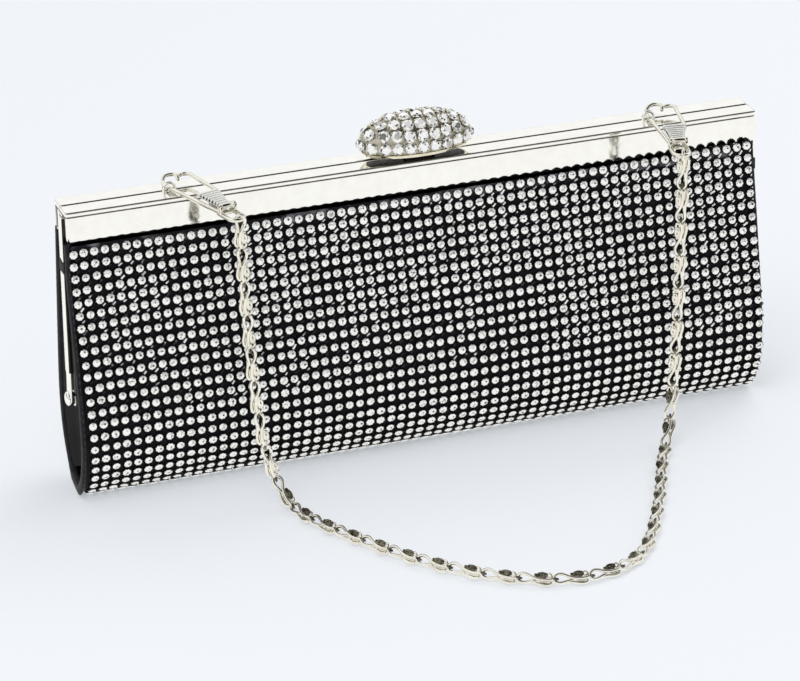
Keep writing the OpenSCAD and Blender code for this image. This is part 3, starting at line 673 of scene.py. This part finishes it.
# Each profile point: step out past the panel's end, and depth
profile = [(-0.2, 1.6), (-0.15, 1.0), (0.1, 0.6), (0.5, 0.5), (0.9, 0.8), (1.2, 1.5), (1.25, 2.6),
           (1.1, 3.5), (0.6, 4.0), (-0.6, 4.1), (-1.2, 3.7), (-1.2, 2.5)]
for end, way in ((LEFT_END, -1), (RIGHT_END, 1)):
    rows = []
    for along, depth in profile:
        pucker = 0.07 * np.sin(runs * 2.1) * (1 if depth < 1.5 else 0.3)
        y, z, _, _ = skin(runs, depth)
        at = left_end(runs) if way < 0 else end
        rows.append(np.stack([at + way * (along + pucker), y, np.maximum(z, 0.02)], 1))
    bindings.grid(rows, round_rows=True)
    bindings.cap_cols(len(profile), len(runs))
    for run in np.arange(-TOP_RUN + 3, TOP_RUN - 2, STITCH_PITCH):
        if abs(run) < 7:
            continue
        y, z, _, _ = skin(np.array([run - 0.75, run, run + 0.75]), 0.56)
        at = float(left_end(run)) if way < 0 else end
        stitch.tube(np.stack([at + way * np.array([0.42, 0.46, 0.42]), y, z], 1), [0.12, 0.2, 0.12], 6)
soft(bindings.make("end_bindings", tape, sharp=60), "binding",
     "front_binding", "base_binding", "back_binding")
soft(stitch.make("binding_stitches", thread, sharp=70), "binding")

# Gussets: cloth folded inwards between the panels, with soft creases
GUSSET_THICK = 0.6
GUSSET_SET = 3.4
FOLD_DEEP = 8.6
heights = np.concatenate([np.linspace(5.2, 26, 16), np.linspace(28, 79, 26)])
across = np.linspace(-1, 1, 33)
for name, end, way in (("left", LEFT_END, -1), ("right", RIGHT_END, 1)):
    gusset = Shape()
    sheets = []
    for thick in (0.0, GUSSET_THICK):
        rows = []
        for z in heights:
            low_run = np.interp(z, half_line[1:120, 1], half_run[1:120])
            half = abs(float(skin(low_run, 4.75)[0]))
            half_low = math.sqrt(max(0.0, 1 - max(0, (15 - z) / 11) ** 2))
            half = max(half * (0.55 + 0.45 * half_low), 2.0)
            t = np.abs(across)
            deep = FOLD_DEEP * (1 - t ** 1.25) * (0.35 + 0.65 * ramp((z - 5) / 26))
            crease = 0.35 * np.sin(0.42 * z + 3.0 * across) * (1 - t) * t * 4
            crease += 0.2 * np.sin(9 * across + 0.1 * z) * (1 - t)
            flare = 1.9 * ramp((t - 0.8) / 0.2)
            x = end - way * (GUSSET_SET + deep + crease - flare + thick)
            rows.append(np.stack([x, across * half, np.full(len(across), z)], 1))
        sheets.append(np.array(rows))
    n, m = sheets[0].shape[:2]
    gusset.grid(sheets[0])
    gusset.grid(sheets[1][:, ::-1])
    edge = [(i, 0) for i in range(n)] + [(n - 1, j) for j in range(1, m)]
    edge += [(i, m - 1) for i in reversed(range(n - 1))] + [(0, j) for j in reversed(range(1, m - 1))]
    outer = [i * m + j for i, j in edge]
    inner = [n * m + i * m + (m - 1 - j) for i, j in edge]
    for k in range(len(edge)):
        q = (k + 1) % len(edge)
        gusset.faces.append((outer[k], outer[q], inner[q], inner[k]))
        gusset.slots.append(0)
    fold = soft(gusset.make("gusset_cloth_" + name, satin), "cloth", "gusset_" + name)

# Loops of tape round the outer arms
LOOP_X = 120.5
LOOP_Z = 81.0
SQUARE = 0.35
loops = Shape()
ring = []
for turn in np.linspace(0, 2 * math.pi, 28, endpoint=False):
    c, s = math.cos(turn), math.sin(turn)
    ring.append((math.copysign(abs(c) ** SQUARE, c), math.copysign(abs(s) ** SQUARE, s)))
ring = np.array(ring)
for way in (-1, 1):
    rows = []
    slim, mid, half = (0.1, -2.2, 2.46) if way > 0 else (1.0, -2.53, 3.0)
    for grow, high in ((0, -2), (0.2, -1.85), (0.26, -1), (0.22, 0), (0.26, 1), (0.2, 1.85), (0, 2),
                       (-0.05, 0)):
        xs = way * (LOOP_X + (0.54 + slim * grow) * ring[:, 0])
        rows.append(np.stack([xs, mid + (half + slim * grow) * ring[:, 1], 0 * xs + LOOP_Z + high], 1))
    loops.grid(rows, round_rows=True, round_cols=True)
ride(loops.make("arm_loop_bands", tape), "front_half", "binding", "arm_loops")

# Front arms: polished plates with a step above the rivet and rounded edges, the left one's front edge in
# painted shade
RIVET_Z = 33
ARM_TOP = 98.5
ARM_LEAN = 3.45
TONGUE_R = 2.2
turn = np.linspace(math.pi, 2 * math.pi, 15)
arm_line = [(-5.3, ARM_TOP), (-2.75, 43.0)]
arm_line += [(TONGUE_R * math.cos(a), RIVET_Z + TONGUE_R * math.sin(a)) for a in turn]
arm_line += [(1.2, 41.6), (1.35, 42.2), (2.15, 42.8), (2.25, 43.6), (-0.85, ARM_TOP)]
arm_line = np.array(arm_line)
arm_mid = np.stack([-ARM_LEAN * (arm_line[:, 1] - RIVET_Z) / (ARM_TOP - RIVET_Z), arm_line[:, 1]], 1)
for name, way in (("left", -1), ("right", 1)):
    arm = Shape()
    rows = []
    for x, shrink in ((120.0, 0.0), (120.72, 0.0), (120.92, 0.06), (121.0, 0.16)):
        line = arm_line + shrink * (arm_mid - arm_line)
        rows.append(np.c_[np.full(len(line), way * x), line])
    first = arm.grid(rows, round_cols=True)
    # The left arm's front edge in painted shade
    for i in (0, 1):
        arm.slots[first + i * len(arm_line)] = 1 if way < 0 else 0
    arm.cap_rows(len(rows), len(arm_line))
    ride(arm.make("arm_plate_" + name, nickel, painted_shade_nickel, sharp=40), "front_half", "nickel", "front_arm_" + name)
    # Black satin slips over the back arms: dark sheets put where the gap between the arms is in shade,
    # painted shade
    slip = Shape()
    strip = [(-6.2, 79), (-5.2, 36.5), (2.5, 36.5), (0.5, 79)]
    slip.grid([[(way * x, y, z) for y, z in strip] for x in (119.5, 119.7)], round_cols=True)
    slip.cap_rows(2, len(strip))
    ride(slip.make("arm_slip_painted_shade_" + name, satin, smooth=False), "front_half", "cloth")

# Frame halves: a rolled wall with a bead and grooves, and a top plate
FRAME_HALF = 120.0
FRAME_DEEP = 7.0
FRAME_TOP = 101
SHEET = 0.8
CORNER = 1.2
END_RISE = 1.6
# Each plan point: X, distance from the middle, direction out of the wall, and share of the bead
plan = [(-FRAME_HALF, h, -1, 0, 0) for h in (0.15, 3.0, 4.6)]
for a in np.linspace(0, math.pi / 2, 8):
    c, s = math.cos(a), math.sin(a)
    plan.append((CORNER * (1 - c) - FRAME_HALF, FRAME_DEEP - CORNER * (1 - s), -c, s, ramp(a / 1.2)))
plan += [(x, FRAME_DEEP, 0, 1, 1) for x in np.linspace(-112, 112, 15)]
plan += [(-x, h, -nx, nh, f) for x, h, nx, nh, f in plan[10::-1]]
plan = np.array(plan, float)
# Each wall point: step out of the wall, further step where the bead is, height, and lift at the ends
wall = [(-0.62, 0.5, 101, 0), (-0.45, 0.5, 101, 0), (-0.3, 0.5, 100.98, 0), (-0.14, 0.5, 100.87, 0),
        (-0.04, 0.5, 100.7, 0), (0, 0.5, 100.5, 0), (0, 0.5, 100.4, 0), (0, 0.5, 99.85, 0),
        (0, 0.48, 99.7, 0), (-0.03, 0.40, 99.52, 0), (-0.1, 0.2, 99.42, 0), (-0.12, -0.22, 99.36, 0),
        (-0.12, -0.22, 99.02, 0), (-0.05, -0.05, 98.94, 0), (0, 0, 98.82, 0), (0, 0, 98.6, 0),
        (0, 0, 91.1, 1), (0, 0, 90.7, 1), (-0.06, 0, 90.4, 1), (-0.22, 0, 90.23, 1), (-0.42, 0, 90.2, 1),
        (-0.62, 0, 90.23, 1), (-0.76, 0, 90.4, 1), (-0.8, 0, 90.7, 1), (-0.8, 0, 100.2, 0)]
# Finishes: plate (0), painted shade (1), painted shade in the groove (2) and a painted dark line (3)
wall_slots = [0, 0, 3, 3, 3] + [0] * 5 + [2, 2, 2] + [0] * 11
# Slot for the lever, and the rolled lip along the middle: distance from the middle, and height
SLOT_LEFT = -4.3
SLOT_RIGHT = 7.3
SLOT_FRONT = 5.5
LIP = 1.25
LIP_END = 119.38
BAR_END = 119.9
lip_line = [(LIP, 101), (0.95, 101), (0.7, 100.95), (0.47, 100.83), (0.28, 100.64), (0.17, 100.4),
            (0.15, 100.2), (LIP, 100.2)]
# Lip finishes: a painted dark reflection on its rounding and painted shade under it
lip_slots = [0, 0, 0, 3, 3, 2, 0]


def frame_half(cad, sign, body, slotted):
    """Wall, top plate and rolled lip of one half. The front one has the lever's slot."""
    made = Shape()
    rows = []
    for out, bead, z, lift in wall:
        step = out + bead * plan[:, 4]
        rise = lift * END_RISE * (1 - plan[:, 4]) ** 1.5
        rows.append(np.stack([plan[:, 0] + step * plan[:, 2], sign * (plan[:, 1] + step * plan[:, 3]),
                              z + rise], 1))
    rows = np.array(rows)
    first = made.grid(rows if sign < 0 else rows[:, ::-1], wall_slots)
    # Painted shade in the gap beside the left arms, between the end wall's edge and the face's rounded
    # corner
    gaps = len(plan) - 1
    for i in range(13, 23):
        for j, finish in ((1, 1), (2, 3), (3, 3), (4, 3)):
            made.slots[first + i * gaps + (j if sign < 0 else gaps - 1 - j)] = finish
    # The upper painted dark line stops at the corners
    for i in (2, 3, 4):
        for j in [*range(7), *range(gaps - 7, gaps)]:
            made.slots[first + i * gaps + j] = 0
    for j in (0, len(plan) - 1):
        made.add(rows[:, j], [tuple(range(len(wall)))])
    edge = rows[0, 1:-1]
    slot = []
    spans = [(-BAR_END, BAR_END)]
    if slotted:
        slot = [(SLOT_RIGHT, LIP), (SLOT_RIGHT, SLOT_FRONT), (SLOT_LEFT, SLOT_FRONT), (SLOT_LEFT, LIP)]
        spans = [(-BAR_END, SLOT_LEFT), (SLOT_RIGHT, BAR_END)]
    lip = [(x, sign * h, FRAME_TOP) for x, h in [(LIP_END, LIP)] + slot + [(-LIP_END, LIP)]]
    top = np.concatenate([edge, lip])
    made.add(top, [tuple(range(len(top)))[::sign]])
    made.add(top - (0, 0, SHEET), [tuple(range(len(top)))[::-sign]])
    for low, high in spans:
        xs = np.linspace(low, high, 12)
        strip = np.array([[(x, sign * h, z) for x in xs] for h, z in lip_line])
        made.grid(strip if sign > 0 else strip[:, ::-1], lip_slots)
        for j in (0, -1):
            made.add(strip[:, j], [tuple(range(len(lip_line)))])
    if slotted:
        made.grid([[(x, sign * h, z) for x, h in slot[::-1]] for z in (FRAME_TOP, FRAME_TOP - SHEET)])
    ride(made.make("polished_" + cad, nickel, painted_shade_nickel, painted_groove_shade, painted_dark_line, sharp=32), body, "nickel", cad)


frame_half("front_frame", -1, "front_half", True)
frame_half("back_frame", 1, "back_half", False)

# Knob stones: the solids' rings and a small one at each tip, cut as brilliants, with prongs between
KNOB_X = 1.5
KNOB_Z = 106.6
KNOB_R = 8.6
KNOB_HALF = 19.0
KNOB_SIT = 3.8
REACH = 92.58
END_RING = 5
END_RING_X = 18.75
RING_PITCH = 4.3
GEM_GAP = 3.85
END_GEM_GAP = 3.1
GEM_R = 2.12
END_GEM_R = 1.6
PRONG_LOW = 104.2
knob_stones = Shape()
prongs = Shape()


def knob_radius(x):
    return KNOB_R * math.sqrt(1 - min(abs(x) / KNOB_HALF, 1) ** 2)


brilliant_faces = [tuple(range(16, 24))]
for j in range(8):
    k = (j + 1) % 8
    brilliant_faces += [(16 + j, 8 + j, 16 + k), (8 + j, 8 + k, 16 + k), (8 + j, j, k), (8 + j, k, 8 + k),
                        (j, 24 + j, 24 + k, k)]
for ring in range(-END_RING, END_RING + 1):
    at_end = abs(ring) == END_RING
    x = math.copysign(END_RING_X, ring) if at_end else ring * RING_PITCH * (1 - 0.012 * abs(ring))
    r = knob_radius(x)
    slope = (knob_radius(x + 0.01) - knob_radius(x - 0.01)) / 0.02
    gaps = math.floor(2 * math.radians(REACH) * r / (END_GEM_GAP if at_end else GEM_GAP))
    for i in range(gaps + 1):
        angle = math.radians(REACH * (2 * i / gaps - 1))
        radial = np.array([0, -math.sin(angle), math.cos(angle)])
        out = unit(radial - slope * np.array([1, 0, 0]) + chance.normal(0, 0.05, 3))
        east = unit(np.cross(np.array([0, math.cos(angle), math.sin(angle)]), out))
        axes = np.stack([east, np.cross(out, east), out])
        place = np.array([KNOB_X + x, 0, KNOB_Z]) + r * radial
        turn = chance.uniform(0, math.pi / 4)
        size = END_GEM_R if at_end else GEM_R
        cut = np.concatenate([ring_of(size, 0.45, turn), ring_of(0.80 * size, 0.98, turn + math.pi / 8),
                              ring_of(0.50 * size, 1.36, turn), ring_of(0.92 * size, 0.05, turn)])
        # Grey and dark facets and tables of the knob's stones: painted reflections
        painted_reflection = chance.choice(3, len(brilliant_faces), p=(0.68, 0.19, 0.13)).tolist()
        painted_reflection[0] = int(chance.choice(3, p=(0.86, 0.10, 0.04)))
        knob_stones.add(place + cut * (1, 1.04, 1) @ axes, brilliant_faces, painted_reflection)
        for turn in (0.6, 2.4, 3.9, 5.4):
            c, s = math.cos(turn), math.sin(turn)
            foot = place + (np.array([GEM_R * c, GEM_R * s, 0.1]) @ axes)
            if foot[2] > PRONG_LOW and not at_end:
                tip = foot + 0.75 * out - 0.2 * c * axes[0] - 0.2 * s * axes[1]
                prongs.tube([foot, foot + 0.5 * out, tip], [0.34, 0.32, 0.22], 6)
ride(knob_stones.make("knob_brilliants", clear_gem, stone_grey_painted_reflection, stone_dark_painted_reflection, smooth=False),
     "clasp", "crystal", "knob_stones")
ride(prongs.make("knob_prongs", gilt, sharp=60), "clasp", "nickel")

# Dark sheet under the knob's plate: painted shade, which the frame's top mirrors as a dark gap under the
# knob
RIM_HALF = 17.1
PLATE_Z = KNOB_Z - KNOB_SIT
under = Shape()
rim = []
for a in np.linspace(0, 2 * math.pi, 64, endpoint=False):
    x = RIM_HALF * math.cos(a)
    half = math.sqrt(max(knob_radius(x) ** 2 - KNOB_SIT ** 2, 0.0))
    rim.append((x, math.copysign(half, math.sin(a)), 0))
rim = np.array(rim)
rows = [rim * k + (KNOB_X, 0, PLATE_Z - down)
        for k, down in ((0.02, 0.01), (0.96, 0.01), (1, 0.1), (0.96, 0.2), (0.5, 0.22), (0.02, 0.23))]
under.grid(rows, round_cols=True)
ride(under.make("knob_underside_painted_shade", cup), "clasp", "nickel")

# Clips, drawn flat as the solids are: X across, Y from the eye to the bow, Z out
RIDGE = 11.5 / 7
PIVOT_Y = -28.87
PIVOT_Z = 2.35
BARREL_R = 1.15
PAD_FROM = -27.67
PAD_LONG = 13.3
CLIP_Y = -1.4
CLIP_Z = 102.1
CLIP_DIP = 1


def clip_frame(x, turn):
    """Where a clip lies, turned about the vertical and dipped a little."""
    return np.array(Matrix.Translation((x, CLIP_Y, CLIP_Z)) @ spin(turn, "Z") @ spin(CLIP_DIP, "X"))


def placed(made, spot):
    made.points = [p @ spot[:3, :3].T + spot[:3, 3] for p in made.points]
    return made


def arc(x, y, r, low, high, n, z=0.0):
    turn = np.radians(np.linspace(low, high, n))
    return [(x + r * math.cos(a), y + r * math.sin(a), z) for a in turn]


def clip_hook():
    made = Shape()
    rod = [(2.68, -28.6, 0)]
    rod += [(2.68 - 2.87 * t, -27.87 + 29.86 * t, 0) for t in np.linspace(0.03, 0.97, 8)]
    bow = []
    for a in np.linspace(185.5, 48, 18):
        c, s = math.cos(math.radians(a)), math.sin(math.radians(a))
        bow.append((2.95 + 3.1 * c, 2.9 + 3.1 * s, 1.9 * ramp((185.5 - a) / 95)))
    bow += [(5.35, 4.4, 1.8), (5.4, 3.6, 1.4), (5.2, 2.9, 0.9)]
    made.tube(rod + bow, 0.7, 12)
    # Ring for the chain, open under the pad, and the bar that carries the gate
    ring = [(1.95, -27.4, 0), (1.9, -29, 0), (1.85, -31.2, 0), (1.88, -33.2, 0)]
    ring += arc(4.48, -33.9, 2.62, 190, 350, 14)
    ring += [(7.08, -33.2, 0), (7.1, -31.2, 0), (7.05, -29, 0), (7.0, -27.4, 0)]
    made.tube(ring, 0.74, 10)
    made.tube([(1.9, -28.3, -0.15), (4.48, -28.3, -0.2), (7.05, -28.3, -0.15)], 0.7, 8)
    # Ears on both sides of the gate's barrel
    turn = eight * 0.5
    rounded = list(zip(PIVOT_Y + BARREL_R * np.cos(turn), PIVOT_Z + BARREL_R * np.sin(turn)))
    outline = [(-27.75, -0.4)] + rounded + [(-29.95, -0.4)]
    for x in (1.38, 6.58):
        rows = [[(x + dx, y + (y - PIVOT_Y) * g, z + g * 0.4 * (z - 1)) for y, z in outline]
                for dx, g in ((0, -0.12), (0.15, 0), (0.85, 0), (1.0, -0.12))]
        made.grid(rows, round_cols=True)
        made.cap_rows(len(rows), len(outline), -1, 1)
    return made


def clip_gate():
    made = Shape()
    # Ridged thumb pad with rounded sides and a flange on its open side
    ys = np.linspace(PIVOT_Y + 0.9, PAD_FROM + PAD_LONG, 72)
    phases = (ys - PIVOT_Y - 1.5) / RIDGE
    rows = []
    for y, phase in zip(ys, phases):
        share = max(0.0, y - PAD_FROM) / PAD_LONG
        left, right = 2.53 - 0.6 * share, 6.43 + 3.57 * share
        ridge = 0.3 * max(0.0, math.cos(2 * math.pi * phase)) ** 0.7 if 0.6 < phase < 7.4 else 0.0
        top = 2.42 + ridge
        line = [(left + 0.35, 1.2), (left + 0.05, 1.35), (left, 1.7), (left + 0.02, 2.2 + 0.8 * ridge),
                (left + 0.3, top), (left + 0.8, top), (right - 0.9, top), (right - 0.4, top - 0.04),
                (right - 0.1, 2.2 + 0.5 * ridge), (right, 1.9), (right, 0.45), (right - 0.12, 0.3),
                (right - 0.4, 0.3), (right - 0.5, 0.45), (right - 0.5, 1.2)]
        rows.append([(x, y, z) for x, z in line])
    first = made.grid(rows, 1, round_cols=True)
    m = len(rows[0])
    # Painted shade in the notches between the ridges along the pad's left edge
    for i, phase in enumerate(phases[:-1]):
        if 0.5 < phase < 7 and math.cos(2 * math.pi * phase) < -0.2:
            made.slots[first + i * m + 2] = 2
            made.slots[first + i * m + 3] = 2
    made.cap_rows(len(rows), m, 1, -1)
    made.tube([(x, PIVOT_Y, PIVOT_Z) for x in (2.55, 4.5, 6.4)], BARREL_R, 12)
    wire_path = [(8.6, -17.5, 1.45), (9.3, -15.6, 1.5), (9.55, -13.4, 1.6), (9.6, -8, 1.6), (9.6, -3, 1.6),
                 (9.6, 1, 1.6)]
    made.tube(wire_path + arc(7.6, 2.2, 2, 12, 120, 12, 1.7), 0.7, 12)
    return made


cord_pieces = []
for name, spot in (("left", clip_frame(-83.5, 15)), ("right", clip_frame(83.5, -10.5))):
    hook = placed(clip_hook(), spot).make("hook_" + name, clip_plate, sharp=50)
    gate = placed(clip_gate(), spot).make("gate_pad_" + name, clip_plate, pad_plate, painted_shade_nickel, sharp=50)
    cord_pieces += [ride(hook, "front_half", "nickel", "clip_hook_" + name),
                    ride(gate, "gate_" + name, "nickel", "clip_gate_" + name)]
cord_pieces += [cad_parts[n] for n in ("clip_pins", "clip_spring_left", "clip_spring_right")]

# Solids that stay, with finishes
finishes = [(nickel, ["back_arm_left", "back_arm_right", "hinge_rivets", "hinge_washers", "strap_staples"]),
            (gilt, ["knob_base"]),
            (pave, ["knob_shell"]),
            # The lever under the knob in painted shade
            (painted_shade_nickel, ["clasp_lever"]),
            (steel, ["clasp_bracket", "clasp_pin", "clasp_spring", "catch_spring", "clip_pins",
                     "clip_spring_left", "clip_spring_right"])]
for material, names in finishes:
    for name in names:
        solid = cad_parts[name]
        if not solid.material_slots:
            solid.data.materials.append(material)
        for held in solid.material_slots:
            held.material = material

# Floor
FLOOR_PALE = 0.42
FLOOR_HALF = 4000
FLOOR_Z = -0.2
floor_material = new_material("floor_pale", (0.95, 0.96, 0.966), 0.9)
tree = floor_material.node_tree
light_path = node(tree, "ShaderNodeLightPath").outputs
mirrored = reckon(tree, "MAXIMUM", light_path["Is Glossy Ray"], light_path["Is Transmission Ray"])
seen = reckon(tree, "MULTIPLY", light_path["Is Camera Ray"], FLOOR_PALE)
pale = node(tree, "ShaderNodeEmission", {"Color": (0.88, 0.93, 1.0, 1), "Strength": 1.0}).outputs[0]
warm = node(tree, "ShaderNodeEmission", {"Color": (1.0, 1.0, 0.98, 1), "Strength": 1.0}).outputs[0]
mixed = node(tree, "ShaderNodeMixShader", {0: seen, 1: tree.nodes["Principled BSDF"].outputs[0], 2: pale})
mixed = node(tree, "ShaderNodeMixShader", {0: mirrored, 1: mixed.outputs[0], 2: warm})
tree.links.new(mixed.outputs[0], tree.nodes["Material Output"].inputs["Surface"])
floor = Shape()
sides = (-FLOOR_HALF, FLOOR_HALF)
floor.grid([[(x, y, FLOOR_Z) for x in sides] for y in sides])
floor.make("floor", floor_material)

# World: pale all round, dark near the horizon, with a dark soft patch high in front that round edges, wires
# and facets pick up
PATCH_WAY = (0.24, -0.43, 0.87)
PATCH_EDGE = (0.72, 0.85)
world = bpy.data.worlds.new("studio")
world.use_nodes = True
bpy.context.scene.world = world
tree = world.node_tree
sky = node(tree, "ShaderNodeTexCoord").outputs["Generated"]
facing = node(tree, "ShaderNodeVectorMath", {0: sky, 1: tuple(unit(PATCH_WAY))}, operation="DOT_PRODUCT")
patch = mapped(tree, facing.outputs["Value"], PATCH_EDGE, (1.0, 0.03))
height = node(tree, "ShaderNodeSeparateXYZ", {0: sky}).outputs["Z"]
patch = reckon(tree, "MULTIPLY", patch, mapped(tree, height, (0.08, 0.2), (0.08, 1.0)))
light_path = node(tree, "ShaderNodeLightPath").outputs
seen = reckon(tree, "MAXIMUM", light_path["Is Camera Ray"], light_path["Is Glossy Ray"])
seen = reckon(tree, "MAXIMUM", seen, light_path["Is Transmission Ray"])
shown = node(tree, "ShaderNodeBackground", {"Color": (1, 1, 0.99, 1), "Strength": patch}).outputs[0]
soft_light = node(tree, "ShaderNodeBackground", {"Color": (0.97, 0.985, 1, 1), "Strength": 0.62}).outputs[0]
mixed = node(tree, "ShaderNodeMixShader", {0: seen, 1: soft_light, 2: shown})
tree.links.new(mixed.outputs[0], tree.nodes["World Output"].inputs["Surface"])

# Lamps: two large soft ones
LAMPS_AIM = (0, -0.02, 0.05)
for name, place, size, power in (("key", (-0.7, -0.9, 1.5), 1.1, 10.0),
                                 ("fill", (0.9, 0.5, 1.4), 1.2, 7.5)):
    lamp = bpy.data.lights.new(name, "AREA")
    lamp.size = size
    lamp.energy = power
    lamp_object = new_object(name, lamp)
    aim = -np.array(place) + LAMPS_AIM
    lamp_object.matrix_world = (Matrix.Translation(place)
                                @ Matrix.Rotation(math.atan2(aim[1], aim[0]) - math.pi / 2, 4, "Z")
                                @ Matrix.Rotation(math.atan2(math.hypot(aim[0], aim[1]), -aim[2]), 4, "X"))
    lamp_object.visible_glossy = False

# Camera at the photograph's place
CAMERA_AT = (-0.435369, -1.329232, 0.640334)
PAN = -17.9043
DIP = 23.4413
ROLL = -1.821
camera = bpy.data.cameras.new("camera")
camera.lens = 204.068
camera.sensor_width = 36
camera.sensor_fit = "HORIZONTAL"
camera_object = new_object("camera", camera)
turned = spin(PAN, "Z") @ spin(90 - DIP, "X") @ spin(ROLL, "Z")
camera_object.matrix_world = Matrix.Translation(CAMERA_AT) @ turned
bpy.context.scene.camera = camera_object
bpy.context.scene.view_settings.view_transform = "Standard"
